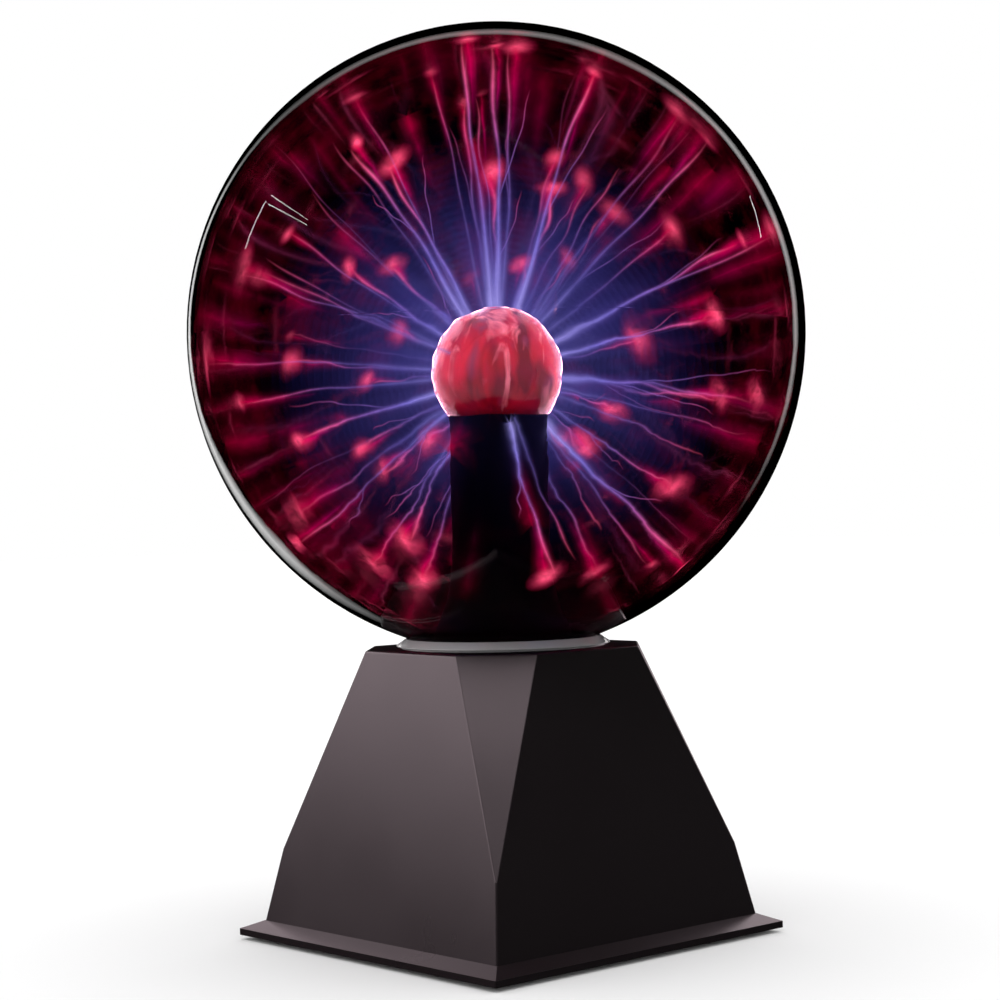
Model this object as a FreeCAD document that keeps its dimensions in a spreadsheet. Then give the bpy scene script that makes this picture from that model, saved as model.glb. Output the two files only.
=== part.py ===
import FreeCAD, Part

import math
import os
from types import SimpleNamespace

import Sketcher

# A desk plasma ball, in millimetres. +Z is up and Z = 0 is the surface the feet stand on.
# The front corner of the square base points to -X -Y, and the controls are in the +Y face.
# Every size is a cell of the Dimensions sheet, and every object is bound to those cells.

SIZES = {
    # base housing: a square pyramid stump with cut corners on a skirt and a flange
    "foot_proud": 1.5,
    "flange_half": 63.8,
    "flange_thick": 2.1,
    "skirt_top_z": 6.2,
    "body_half_low": 57.6,
    "body_half_top": 40.5,
    "body_top_z": 95.9,
    "corner_cut": 18.3,
    "corner_apex_z": 28.1,
    "corner_apex_half": 53.4,
    "housing_wall": 2.2,
    "edge_round": 0.9,
    "flange_round": 0.7,
    "boss_place": 46.0,
    "boss_radius": 5.5,
    "boss_top_z": 27.0,
    "pilot_radius": 1.4,
    # control recess in the back face
    "recess_half_width": 38.0,
    "recess_low_z": 9.0,
    "recess_top_z": 32.0,
    "panel_y": 50.0,
    "panel_thick": 2.2,
    "control_z": 20.0,
    # bottom cover, feet and screws
    "cover_half": 55.6,
    "cover_corner_cut": 3.0,
    "cover_thick": 2.2,
    "vent_length": 34.0,
    "vent_width": 2.6,
    "vent_pitch": 6.0,
    "standoff_radius": 3.6,
    "foot_place": 34.0,
    "foot_radius": 7.0,
    "foot_recess": 0.5,
    "screw_radius": 1.35,
    "screw_head_radius": 2.9,
    "screw_head_height": 1.9,
    "screw_length": 10.0,
    "cover_screw_sink": 0.9,
    # globe, electrode and neck
    "globe_radius": 101.6,
    "globe_low_radius": 106.0,
    "globe_z": 198.9,
    "globe_wall": 2.0,
    "neck_radius": 26.0,
    "neck_low_z": 74.0,
    "seal_thick": 2.0,
    "bulb_radius": 21.5,
    "bulb_z": 186.5,
    "bulb_wall": 1.5,
    "stem_radius": 14.0,
    "shroud_gap": 0.4,
    "shroud_radius": 16.1,
    "shroud_top_z": 171.9,
    "shroud_top_slope": 1.6,
    "shroud_flare_radius": 23.0,
    "shroud_flare_top_z": 128.0,
    "shroud_flare_low_z": 100.0,
    "shroud_flare_arc": 62.0,
    "shroud_low_z": 74.5,
    "wool_radius": 19.0,
    "rod_radius": 1.6,
    "rod_top_z": 181.0,
    "rod_low_z": 68.0,
    "boot_radius": 12.3,
    "boot_top_z": 84.0,
    "boot_low_z": 64.0,
    "boot_nozzle_radius": 4.0,
    "tip_radius": 2.4,
    "tip_place": 19.0,
    "tip_length": 7.0,
    # collar, seat, bond and lock ring
    "collar_radius": 35.3,
    "collar_foot_radius": 33.8,
    "collar_foot_z": 96.4,
    "collar_rim_z": 96.9,
    "collar_lip_radius": 32.2,
    "collar_lip_z": 99.0,
    "collar_seat_radius": 31.4,
    "collar_seat_z": 97.0,
    "collar_bore": 26.9,
    "spigot_radius": 29.4,
    "spigot_low_z": 84.0,
    "deck_hole_radius": 29.8,
    "seat_outer_radius": 31.2,
    "seat_inner_radius": 28.2,
    "silicone_low_z": 86.0,
    "silicone_top_z": 95.5,
    "lock_radius": 35.5,
    "lock_bore": 29.45,
    "lock_thick": 5.0,
    # circuit board
    "board_half_x": 40.0,
    "board_low_y": -40.0,
    "board_top_y": 30.0,
    "board_z": 12.0,
    "board_thick": 1.6,
    "board_hole_inset": 4.0,
    "board_hole_radius": 1.5,
    # flyback transformer
    "flyback_x": -20.0,
    "flyback_base_y": -10.0,
    "core_leg": 9.0,
    "core_length": 40.0,
    "core_yoke": 7.0,
    "core_window": 18.0,
    "flyback_base_thick": 2.0,
    "primary_radius": 8.0,
    "secondary_radius": 14.0,
    "winding_gap": 1.0,
    "winding_bore_gap": 0.2,
    "nipple_radius": 2.6,
    "nipple_offset": 9.5,
    "nipple_height": 4.4,
    "clip_thick": 0.6,
    "clip_width": 5.0,
    "hv_lead_radius": 1.5,
    # driver transistor on its heatsink
    "sink_x": 26.0,
    "sink_depth": 12.0,
    "sink_low_y": -31.0,
    "sink_width": 22.0,
    "sink_height": 30.0,
    "sink_base": 2.5,
    "fin_thick": 1.4,
    "pad_thick": 0.3,
    "tab_thick": 1.3,
    "package_thick": 4.4,
    "package_width": 10.0,
    "package_height": 9.0,
    "tab_height": 15.5,
    "package_y": -20.0,
    "package_lift": 5.0,
    "leg_pitch": 2.54,
    "leg_size": 0.8,
    # capacitors, chips and small parts
    "filter_radius": 6.5,
    "filter_height": 22.0,
    "small_cap_radius": 2.5,
    "small_cap_height": 7.5,
    "can_groove": 0.5,
    "film_length": 13.0,
    "film_width": 5.0,
    "film_height": 10.0,
    "chip_length": 9.8,
    "chip_width": 6.4,
    "chip_height": 3.4,
    "chip_lift": 0.6,
    "chip_row_half": 3.8,
    "pin_size": 0.5,
    "toroid_radius": 6.0,
    "toroid_section": 2.5,
    "resistor_radius": 1.2,
    "resistor_length": 6.4,
    "resistor_span": 10.0,
    "diode_radius": 1.6,
    "wire_leg_radius": 0.35,
    # microphone
    "mic_x": 4.0,
    "mic_radius": 4.8,
    "mic_length": 5.0,
    "grommet_wall": 1.3,
    "grommet_length": 6.0,
    "sound_hole_radius": 0.9,
    "sound_hole_ring": 2.8,
    # slide switch
    "switch_x": -20.5,
    "switch_travel": 5.0,
    "frame_half_x": 10.5,
    "frame_half_z": 4.6,
    "frame_depth": 8.0,
    "frame_wall": 0.8,
    "ear_half_x": 16.5,
    "ear_thick": 0.8,
    "switch_screw_x": 13.5,
    "knob_half_x": 3.75,
    "knob_half_z": 2.7,
    "knob_proud": 4.0,
    "slot_gap": 0.3,
    "slider_half_x": 6.2,
    "slider_half_z": 3.5,
    "slider_thick": 3.2,
    "clip_depth": 3.5,
    "terminal_board_thick": 1.4,
    "terminal_length": 5.0,
    "terminal_pitch": 5.0,
    "terminal_size": 0.9,
    "machine_head_radius": 2.6,
    "machine_head_height": 1.4,
    "machine_radius": 1.3,
    "machine_length": 4.6,
    # direct-current jack
    "jack_x": 20.0,
    "jack_flange_radius": 7.0,
    "jack_flange_thick": 2.0,
    "jack_barrel_radius": 5.4,
    "jack_hole_radius": 5.6,
    "jack_depth": 14.0,
    "jack_bore_radius": 3.2,
    "jack_bore_depth": 10.0,
    "jack_pin_radius": 1.05,
    "nut_half_flats": 7.5,
    "nut_thick": 2.4,
    "nut_bore": 5.45,
    "lug_thick": 0.6,
    "lug_width": 2.6,
    "lug_length": 5.0,
    # hook-up wire
    "wire_radius": 0.65,
    "wire_bend": 4.0,
}

doc = FreeCAD.newDocument("PlasmaBall")
sheet = doc.addObject("Spreadsheet::Sheet", "Dimensions")
for row, (alias, value) in enumerate(SIZES.items(), start=1):
    sheet.set(f"A{row}", alias)
    sheet.set(f"B{row}", str(value))
    sheet.setAlias(f"B{row}", alias)
doc.recompute()


class Length:
    """A size worked out from the sheet's cells: its expression text and its present value."""

    def __init__(self, text, value):
        self.text = text
        self.value = value

    def _joined(self, sign, other, value):
        return Length(f"({self.text} {sign} {other.text})", value)

    def __add__(self, other):
        other = length(other)
        return self._joined("+", other, self.value + other.value)

    def __sub__(self, other):
        other = length(other)
        return self._joined("-", other, self.value - other.value)

    def __rsub__(self, other):
        return length(other) - self

    def __mul__(self, other):
        other = length(other)
        return self._joined("*", other, self.value * other.value)

    def __truediv__(self, other):
        other = length(other)
        return self._joined("/", other, self.value / other.value)

    def __neg__(self):
        return Length(f"(0 - {self.text})", -self.value)

    __radd__ = __add__
    __rmul__ = __mul__


def length(number):
    """A plain number as a Length, or the Length itself."""
    return number if isinstance(number, Length) else Length(repr(number), number)


def root(square):
    """The square root of a Length."""
    return Length(f"sqrt({square.text})", math.sqrt(square.value))


d = SimpleNamespace(**{alias: Length(f"Dimensions.{alias}", value) for alias, value in SIZES.items()})
nodes = []


# ---- helpers ----------------------------------------------------------------------------


def bind(obj, **properties):
    """Binds an object's properties to lengths."""
    for name, value in properties.items():
        obj.setExpression(name, length(value).text)


def place(obj, x=0.0, y=0.0, z=0.0, rotation=None):
    """Turns an object, then binds where its own origin stands."""
    if rotation is not None:
        obj.Placement = FreeCAD.Placement(FreeCAD.Vector(0, 0, 0), rotation)
    for axis, value in (("x", x), ("y", y), ("z", z)):
        obj.setExpression(f"Placement.Base.{axis}", length(value).text)
    return obj


def keep(obj, label):
    """Names an object as a finished sub-part."""
    obj.Label = label
    nodes.append(obj)
    return obj


def turn_about(x, y, z, degrees):
    return FreeCAD.Rotation(FreeCAD.Vector(x, y, z), degrees)


def block(name, x, y, z):
    """A box from three (low, high) pairs."""
    box = doc.addObject("Part::Box", name)
    bind(box, Length=length(x[1]) - x[0], Width=length(y[1]) - y[0], Height=length(z[1]) - z[0])
    return place(box, x[0], y[0], z[0])


def around(centre, half):
    """The (low, high) pair that reaches half either side of a centre."""
    return length(centre) - half, length(centre) + half


def upright(name, radius, low, high, x=0.0, y=0.0):
    """A cylinder that stands along Z."""
    rod = doc.addObject("Part::Cylinder", name)
    bind(rod, Radius=radius, Height=length(high) - low)
    return place(rod, x, y, low)


def along_y(name, radius, low, high, x, z):
    """A cylinder that lies along Y."""
    rod = doc.addObject("Part::Cylinder", name)
    bind(rod, Radius=radius, Height=length(high) - low)
    return place(rod, x, low, z, turn_about(1, 0, 0, -90))


def along_x(name, radius, low, high, y, z):
    """A cylinder that lies along X."""
    rod = doc.addObject("Part::Cylinder", name)
    bind(rod, Radius=radius, Height=length(high) - low)
    return place(rod, low, y, z, turn_about(0, 1, 0, 90))


def stump(name, half_low, half_top, low, high, spin=0.0):
    """A square pyramid stump about the Z axis, its sides half_low and half_top from the axis."""
    wedge = doc.addObject("Part::Wedge", name)
    bind(wedge, Xmin=-length(half_low), Xmax=half_low, Zmin=-length(half_low), Zmax=half_low)
    bind(wedge, X2min=-length(half_top), X2max=half_top, Z2min=-length(half_top), Z2max=half_top)
    bind(wedge, Ymin=0.0, Ymax=length(high) - low)
    return place(wedge, 0, 0, low, turn_about(0, 0, 1, spin).multiply(turn_about(1, 0, 0, 90)))


def fused(name, *shapes):
    joined = doc.addObject("Part::MultiFuse", name)
    joined.Shapes = list(shapes)
    joined.Refine = True
    return joined


def cut(name, base, *tools):
    tool = tools[0] if len(tools) == 1 else fused(f"{name}_tools", *tools)
    result = doc.addObject("Part::Cut", name)
    result.Base = base
    result.Tool = tool
    result.Refine = True
    return result


def common(name, *shapes):
    shared = doc.addObject("Part::MultiCommon", name)
    shared.Shapes = list(shapes)
    return shared


def grouped(name, *shapes):
    """Separate solids that share one sub-part."""
    group = doc.addObject("Part::Compound", name)
    group.Links = list(shapes)
    return group


def arc_between(start, end, radius):
    """The arc from start to end, with its centre on the left for a positive radius."""
    chord = end - start
    left = FreeCAD.Vector(-chord.y, chord.x, 0).normalize()
    reach = math.sqrt(max(radius * radius - (chord.Length / 2) ** 2, 0.0))
    centre = (start + end) * 0.5 + left * math.copysign(reach, radius)
    first, last = (start, end) if radius > 0 else (end, start)
    angles = [math.atan2(point.y - centre.y, point.x - centre.x) for point in (first, last)]
    circle = Part.Circle(centre, FreeCAD.Vector(0, 0, 1), abs(radius))
    return Part.ArcOfCircle(circle, *angles)


def outline(body, name, role, points):
    """A fully dimensioned closed sketch on one of a body's origin planes.

    Each point is (across, up) or (across, up, radius), where radius is the arc to the next
    point. It is positive where the arc's centre lies on the left of the way round.
    """
    sketch = body.newObject("Sketcher::SketchObject", name)
    plane = next(p for p in body.Origin.OriginFeatures if p.Role == role)
    sketch.AttachmentSupport = (plane, "")
    sketch.MapMode = "FlatFace"
    spots = [FreeCAD.Vector(length(p[0]).value, length(p[1]).value, 0) for p in points]
    arcs = [length(p[2]) if len(p) == 3 else None for p in points]
    for index, arc in enumerate(arcs):
        start, end = spots[index], spots[(index + 1) % len(spots)]
        edge = Part.LineSegment(start, end) if arc is None else arc_between(start, end, arc.value)
        sketch.addGeometry(edge, False)
    begins = [2 if arc is not None and arc.value < 0 else 1 for arc in arcs]
    for index in range(len(points)):
        after = (index + 1) % len(points)
        ends = 3 - begins[index]
        sketch.addConstraint(Sketcher.Constraint("Coincident", index, ends, after, begins[after]))
    for index, point in enumerate(points):
        for kind, value, axis in (
            ("DistanceX", length(point[0]), -2),
            ("DistanceY", length(point[1]), -1),
        ):
            if value.value == 0:
                on_axis = Sketcher.Constraint("PointOnObject", index, begins[index], axis)
                sketch.addConstraint(on_axis)
                continue
            rule = Sketcher.Constraint(kind, -1, 1, index, begins[index], value.value)
            sketch.setExpression(f"Constraints[{sketch.addConstraint(rule)}]", value.text)
        if arcs[index] is not None:
            radius = arcs[index] if arcs[index].value > 0 else -arcs[index]
            rule = Sketcher.Constraint("Radius", index, radius.value)
            sketch.setExpression(f"Constraints[{sketch.addConstraint(rule)}]", radius.text)
    return sketch


def turned(name, points):
    """A body turned about its Z axis from (radius, height) points."""
    body = doc.addObject("PartDesign::Body", name)
    sketch = outline(body, f"{name}_profile", "XZ_Plane", points)
    spin = body.newObject("PartDesign::Revolution", f"{name}_turn")
    spin.Profile = sketch
    spin.ReferenceAxis = (sketch, ["V_Axis"])
    spin.Angle = 360
    body.Tip = spin
    return body


def padded(name, role, points, thick):
    """A body padded from a sketch on one of its origin planes."""
    body = doc.addObject("PartDesign::Body", name)
    sketch = outline(body, f"{name}_profile", role, points)
    pad = body.newObject("PartDesign::Pad", f"{name}_pad")
    pad.Profile = sketch
    bind(pad, Length=thick)
    body.Tip = pad
    return body


def corners(half_x, half_y):
    """The four (x, y) corners of a rectangle about the axis."""
    return [(half_x * sx, half_y * sy) for sy in (-1.0, 1.0) for sx in (-1.0, 1.0)]


# ---- globe and electrode ----------------------------------------------------------------


def height_under_globe(radius, wall):
    """Where the globe's lower half, wall inside its outer face, reaches a distance from the axis."""
    inside = d.globe_low_radius - wall
    offset = radius + d.globe_low_radius - d.globe_radius
    return d.globe_z - root(inside * inside - offset * offset)


def make_globe_glass():
    """A round upper half, a slightly fuller lower half and a straight neck, with an even wall."""
    neck_inside = d.neck_radius - d.globe_wall
    inside = d.globe_radius - d.globe_wall
    inside_low = d.globe_low_radius - d.globe_wall
    points = [
        (0.0, d.globe_z + d.globe_radius, -d.globe_radius),
        (d.globe_radius, d.globe_z, -d.globe_low_radius),
        (d.neck_radius, height_under_globe(d.neck_radius, length(0.0))),
        (d.neck_radius, d.neck_low_z),
        (neck_inside, d.neck_low_z),
        (neck_inside, height_under_globe(neck_inside, d.globe_wall), inside_low),
        (inside, d.globe_z, inside),
        (0.0, d.globe_z + inside),
    ]
    keep(turned("GlobeGlass", points), "globe_glass")


def make_electrode_glass():
    """The bulb, its stem and the flat disc that closes the globe's neck."""
    bore = d.stem_radius - d.bulb_wall
    inner_bulb = d.bulb_radius - d.bulb_wall
    drop = root(d.bulb_radius * d.bulb_radius - d.stem_radius * d.stem_radius)
    inner_drop = root(inner_bulb * inner_bulb - bore * bore)
    points = [
        (0.0, d.bulb_z + d.bulb_radius, -d.bulb_radius),
        (d.bulb_radius, d.bulb_z, -d.bulb_radius),
        (d.stem_radius, d.bulb_z - drop),
        (d.stem_radius, d.neck_low_z),
        (d.neck_radius, d.neck_low_z),
        (d.neck_radius, d.neck_low_z - d.seal_thick),
        (bore, d.neck_low_z - d.seal_thick),
        (bore, d.bulb_z - inner_drop, inner_bulb),
        (inner_bulb, d.bulb_z, inner_bulb),
        (0.0, d.bulb_z + inner_bulb),
    ]
    keep(turned("ElectrodeGlass", points), "electrode_glass")


def make_stem_shroud():
    """A thin sleeve over the stem that flares gently down into the neck."""
    inside = d.stem_radius + d.shroud_gap
    wall = d.shroud_radius - inside
    points = [
        (d.shroud_radius, d.shroud_top_z),
        (d.shroud_radius, d.shroud_flare_top_z, d.shroud_flare_arc),
        (d.shroud_flare_radius, d.shroud_flare_low_z),
        (d.shroud_flare_radius, d.shroud_low_z),
        (d.shroud_flare_radius - wall, d.shroud_low_z),
        (d.shroud_flare_radius - wall, d.shroud_flare_low_z, -d.shroud_flare_arc),
        (inside, d.shroud_flare_top_z),
        (inside, d.shroud_top_z - d.shroud_top_slope),
    ]
    keep(turned("StemShroud", points), "stem_shroud")


def make_electrode_parts():
    """Metal wool in the bulb, the rod that feeds it, the boot in the stem and the sealed tip."""
    wool = doc.addObject("Part::Sphere", "WoolBall")
    bind(wool, Radius=d.wool_radius)
    place(wool, 0, 0, d.bulb_z)
    socket = upright("WoolSocket", d.rod_radius, d.bulb_z - d.bulb_radius, d.rod_top_z)
    keep(cut("ElectrodeWool", wool, socket), "electrode_wool")
    keep(upright("HvRod", d.rod_radius, d.rod_low_z, d.rod_top_z), "hv_rod")
    boot = turned(
        "HvBoot",
        [
            (d.rod_radius, d.rod_low_z),
            (0.0, d.rod_low_z),
            (0.0, d.boot_low_z + d.wire_bend * 0.5),
            (d.hv_lead_radius, d.boot_low_z + d.wire_bend * 0.5),
            (d.hv_lead_radius, d.boot_low_z),
            (d.boot_nozzle_radius, d.boot_low_z),
            (d.boot_nozzle_radius, d.neck_low_z - d.seal_thick),
            (d.boot_radius, d.neck_low_z),
            (d.boot_radius, d.boot_top_z),
            (d.rod_radius, d.boot_top_z),
        ],
    )
    keep(boot, "hv_boot")
    tip = turned(
        "ExhaustTip",
        [
            (0.0, 0.0),
            (d.tip_radius * 0.4, 0.0),
            (d.tip_radius, d.tip_length * 0.45),
            (d.tip_radius, d.tip_length),
            (0.0, d.tip_length),
        ],
    )
    place(tip, d.tip_place, 0, d.neck_low_z - d.seal_thick - d.tip_length)
    keep(tip, "exhaust_tip")


# ---- what holds the globe in the deck ---------------------------------------------------


def make_neck_collar():
    """A bevelled ring on the deck, undercut at its foot, with a spigot and a seat for the globe."""
    points = [
        (d.collar_foot_radius, d.body_top_z),
        (d.collar_foot_radius, d.collar_foot_z),
        (d.collar_radius, d.collar_foot_z + 0.2),
        (d.collar_radius, d.collar_rim_z),
        (d.collar_lip_radius, d.collar_lip_z, 12.0),
        (d.collar_seat_radius, d.collar_seat_z),
        (d.collar_bore, d.collar_seat_z),
        (d.collar_bore, d.spigot_low_z),
        (d.spigot_radius, d.spigot_low_z),
        (d.spigot_radius, d.body_top_z),
    ]
    keep(turned("NeckCollar", points), "neck_collar")


def make_seat_and_bond():
    """The rubber seat under the globe and the silicone between its neck and the collar."""
    slack = 0.1
    seat = turned(
        "GlobeSeatGasket",
        [
            (d.seat_inner_radius, d.collar_seat_z),
            (d.seat_outer_radius, d.collar_seat_z),
            (d.seat_outer_radius, height_under_globe(d.seat_outer_radius, length(0.0)) - slack),
            (d.seat_inner_radius, height_under_globe(d.seat_inner_radius, length(0.0)) - slack),
        ],
    )
    keep(seat, "globe_seat_gasket")
    silicone = turned(
        "NeckSilicone",
        [
            (d.neck_radius, d.silicone_low_z),
            (d.collar_bore, d.silicone_low_z),
            (d.collar_bore, d.silicone_top_z),
            (d.neck_radius, d.silicone_top_z),
        ],
    )
    keep(silicone, "neck_silicone")


def make_lock_ring():
    """The ring nut under the deck, with four spanner notches."""
    top = d.body_top_z - d.housing_wall
    ring = turned(
        "LockRingBlank",
        [
            (d.lock_bore, top - d.lock_thick),
            (d.lock_radius - 1.0, top - d.lock_thick),
            (d.lock_radius, top - d.lock_thick + 1.0),
            (d.lock_radius, top),
            (d.lock_bore, top),
        ],
    )
    reach = d.lock_radius + 1.0
    notch_depth = d.lock_radius - 2.5
    notches = []
    for index, (low, high) in enumerate(((-reach, -notch_depth), (notch_depth, reach))):
        notches.append(block(f"LockNotchX{index}", (low, high), (-3.0, 3.0), (top - 6.0, top - 2.0)))
        notches.append(block(f"LockNotchY{index}", (-3.0, 3.0), (low, high), (top - 6.0, top - 2.0)))
    keep(cut("NeckLockRing", ring, *notches), "neck_lock_ring")


# ---- base housing and bottom cover ------------------------------------------------------


def body_half(z, inset):
    """Half the housing's width at a height, less an inset."""
    lean = (d.body_half_low - d.body_half_top) / (d.body_top_z - d.skirt_top_z)
    return d.body_half_low - (length(z) - d.skirt_top_z) * lean - inset


def corner_half(z, inset):
    """How far the cut corners' faces stand from the axis at a height, less an inset."""
    top = (d.body_half_top * 2.0 - d.corner_cut) / math.sqrt(2.0)
    apex = d.corner_apex_half * math.sqrt(2.0)
    lean = (apex - top) / (d.body_top_z - d.corner_apex_z)
    return apex - (length(z) - d.corner_apex_z) * lean - inset


def cut_corner_stump(name, low, high, inset):
    """A square stump whose corners are cut by a steeper stump turned by 45 degrees."""
    square = stump(f"{name}Square", body_half(low, inset), body_half(high, inset), low, high)
    turned_square = stump(
        f"{name}Turned",
        corner_half(low, inset),
        corner_half(high, inset),
        low,
        high,
        45.0,
    )
    return common(name, square, turned_square)


def rounded(name, base, radius, chosen):
    """Rounds the chosen edges of an object by one radius."""
    doc.recompute()
    edges = [i for i, edge in enumerate(base.Shape.Edges, start=1) if chosen(edge.BoundBox)]
    fillet = doc.addObject("Part::Fillet", name)
    fillet.Base = base
    fillet.Edges = [(index, radius.value, radius.value) for index in edges]
    return fillet


def make_housing_shell():
    """The moulded outside, open underneath, with its flange, skirt and boss columns."""
    low = d.foot_proud
    flange_top = low + d.flange_thick
    shell_body = cut_corner_stump("HousingBody", low, d.body_top_z, length(0.0))
    above_skirt = SIZES["skirt_top_z"] + 0.1
    smooth_body = rounded("HousingRounded", shell_body, d.edge_round, lambda b: b.ZMax > above_skirt)
    flange = block(
        "HousingFlange",
        around(0.0, d.flange_half),
        around(0.0, d.flange_half),
        (low, flange_top),
    )
    upright_edges = lambda b: b.ZLength > SIZES["flange_thick"] - 0.1 and b.XLength + b.YLength < 0.1
    smooth_flange = rounded("FlangeRounded", flange, d.flange_round, upright_edges)
    skirt = stump(
        "HousingSkirt",
        d.flange_half - 0.25,
        body_half(d.skirt_top_z, 0.0),
        flange_top,
        d.skirt_top_z,
    )
    inside_top = d.body_top_z - d.housing_wall
    cavity = cut_corner_stump("HousingCavity", low, inside_top, d.housing_wall)
    panel_inside = d.panel_y - d.panel_thick
    rim = d.panel_thick
    recess_wall = block(
        "RecessWall",
        around(0.0, d.recess_half_width + rim),
        (panel_inside, d.flange_half),
        (low + d.cover_thick + 0.2, d.recess_top_z + rim),
    )
    columns = [
        upright(f"Boss{i}", d.boss_radius, low + d.cover_thick + 0.2, d.boss_top_z, x, y)
        for i, (x, y) in enumerate(corners(d.boss_place, d.boss_place))
    ]
    solid_outside = fused("HousingOutside", smooth_body, smooth_flange, skirt)
    hollow = cut("HousingHollow", solid_outside, cavity)
    inner_parts = common("HousingInnerParts", fused("HousingInnerAll", recess_wall, *columns), shell_body)
    return fused("HousingShell", hollow, inner_parts)


def make_base_housing():
    """The shell with its control recess, deck hole, pilot holes and panel holes."""
    shell = make_housing_shell()
    wide = d.flange_half + 5.0
    recess = block(
        "Recess",
        around(0.0, d.recess_half_width),
        (d.panel_y, wide),
        (d.recess_low_z, d.recess_top_z),
    )
    through = (d.panel_y - d.panel_thick - 1.0, d.panel_y + 1.0)
    slot_half = d.knob_half_x + d.switch_travel / 2.0 + d.slot_gap
    slot = block(
        "KnobSlot",
        around(d.switch_x, slot_half),
        through,
        around(d.control_z, d.knob_half_z + d.slot_gap),
    )
    deck_hole = upright("DeckHole", d.deck_hole_radius, d.body_top_z - 8.0, d.body_top_z + 2.0)
    jack_hole = along_y("JackHole", d.jack_hole_radius, *through, d.jack_x, d.control_z)
    screw_holes = [
        along_y(
            f"SwitchScrewHole{i}",
            d.machine_radius + 0.2,
            *through,
            d.switch_x + side * d.switch_screw_x,
            d.control_z,
        )
        for i, side in enumerate((-1.0, 1.0))
    ]
    sound_holes = [along_y("SoundHole", d.sound_hole_radius, *through, d.mic_x, d.control_z)]
    for index in range(6):
        angle = math.radians(60.0 * index)
        x = d.mic_x + d.sound_hole_ring * math.cos(angle)
        z = d.control_z + d.sound_hole_ring * math.sin(angle)
        sound_holes.append(along_y(f"SoundHole{index}", d.sound_hole_radius, *through, x, z))
    pilots = [
        upright(f"Pilot{i}", d.pilot_radius, d.foot_proud, d.boss_top_z - 4.0, x, y)
        for i, (x, y) in enumerate(corners(d.boss_place, d.boss_place))
    ]
    holes = [recess, slot, deck_hole, jack_hole, *screw_holes, *sound_holes, *pilots]
    keep(cut("BaseHousing", shell, *holes), "base_housing")


def board_hole_places():
    """The four (x, y) places of the board's screws."""
    low = d.board_low_y + d.board_hole_inset
    high = d.board_top_y - d.board_hole_inset
    reach = d.board_half_x - d.board_hole_inset
    return [(reach * side, y) for y in (low, high) for side in (-1.0, 1.0)]


def make_bottom_cover():
    """A plate inside the flange, with vents, foot recesses, screw holes and board standoffs."""
    half = d.cover_half
    trim = d.cover_half - d.cover_corner_cut
    points = [
        (-half, -trim), (-trim, -half), (trim, -half), (half, -trim),
        (half, trim), (trim, half), (-trim, half), (-half, trim),
    ]
    plate = padded("CoverPlate", "XY_Plane", points, d.cover_thick)
    low = d.foot_proud + 0.2
    top = low + d.cover_thick
    place(plate, 0, 0, low)
    standoffs = [
        upright(f"Standoff{i}", d.standoff_radius, top - 0.5, d.board_z, x, y)
        for i, (x, y) in enumerate(board_hole_places())
    ]
    tools = []
    for index in range(-2, 3):
        middle = index * d.vent_pitch
        tools.append(
            block(
                f"Vent{index + 2}",
                around(0.0, d.vent_length / 2.0),
                around(middle, d.vent_width / 2.0),
                (low - 1.0, top + 1.0),
            )
        )
    for index, (x, y) in enumerate(corners(d.boss_place, d.boss_place)):
        tools.append(upright(f"CoverHole{index}", d.screw_radius + 0.25, low - 1.0, top + 1.0, x, y))
        tools.append(
            upright(
                f"CoverSink{index}",
                d.screw_head_radius + 0.3,
                low - 1.0,
                low + d.cover_screw_sink,
                x,
                y,
            )
        )
    for index, (x, y) in enumerate(corners(d.foot_place, d.foot_place)):
        tools.append(
            upright(f"FootRecess{index}", d.foot_radius + 0.1, low - 1.0, low + d.foot_recess, x, y)
        )
    for index, (x, y) in enumerate(board_hole_places()):
        tools.append(upright(f"StandoffPilot{index}", d.screw_radius - 0.2, top, d.board_z + 1.0, x, y))
    keep(cut("BottomCover", fused("CoverBlank", plate, *standoffs), *tools), "bottom_cover")


def screw(name, head_radius, head_height, radius, reach):
    """A screw that stands on its head at its own origin, its shank towards +Z, with a cross slot."""
    blank = turned(
        f"{name}Blank",
        [
            (0.0, 0.0),
            (head_radius * 0.8, 0.0),
            (head_radius, head_height * 0.5),
            (head_radius, head_height),
            (radius, head_height),
            (radius, head_height + reach * 0.85),
            (0.0, head_height + reach),
        ],
    )
    wide = head_radius * 0.55
    narrow = head_radius * 0.14
    across = block(f"{name}SlotA", around(0.0, wide), around(0.0, narrow), (-1.0, head_height * 0.5))
    along = block(f"{name}SlotB", around(0.0, narrow), around(0.0, wide), (-1.0, head_height * 0.5))
    return cut(name, blank, across, along)


def make_cover_screws():
    """Four screws up through the cover into the housing's bosses."""
    head_z = d.foot_proud + 0.2 + d.cover_screw_sink - d.screw_head_height
    screws = []
    for index, (x, y) in enumerate(corners(d.boss_place, d.boss_place)):
        one = screw(
            f"CoverScrew{index}",
            d.screw_head_radius,
            d.screw_head_height,
            d.screw_radius,
            d.screw_length,
        )
        screws.append(place(one, x, y, head_z))
    keep(grouped("CoverScrews", *screws), "cover_screws")


def make_feet():
    """Four rubber feet in the cover's recesses."""
    names = ("front_left", "front_right", "rear_left", "rear_right")
    top = d.foot_proud + 0.2 + d.foot_recess
    for name, (x, y) in zip(names, corners(d.foot_place, d.foot_place)):
        foot = turned(
            f"Foot_{name}",
            [
                (0.0, 0.0),
                (d.foot_radius - 0.8, 0.0),
                (d.foot_radius, 0.8),
                (d.foot_radius, top),
                (0.0, top),
            ],
        )
        keep(place(foot, x, y, 0.0), f"rubber_foot_{name}")


# ---- circuit board and what stands on it ------------------------------------------------


def board_top():
    return d.board_z + d.board_thick


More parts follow.
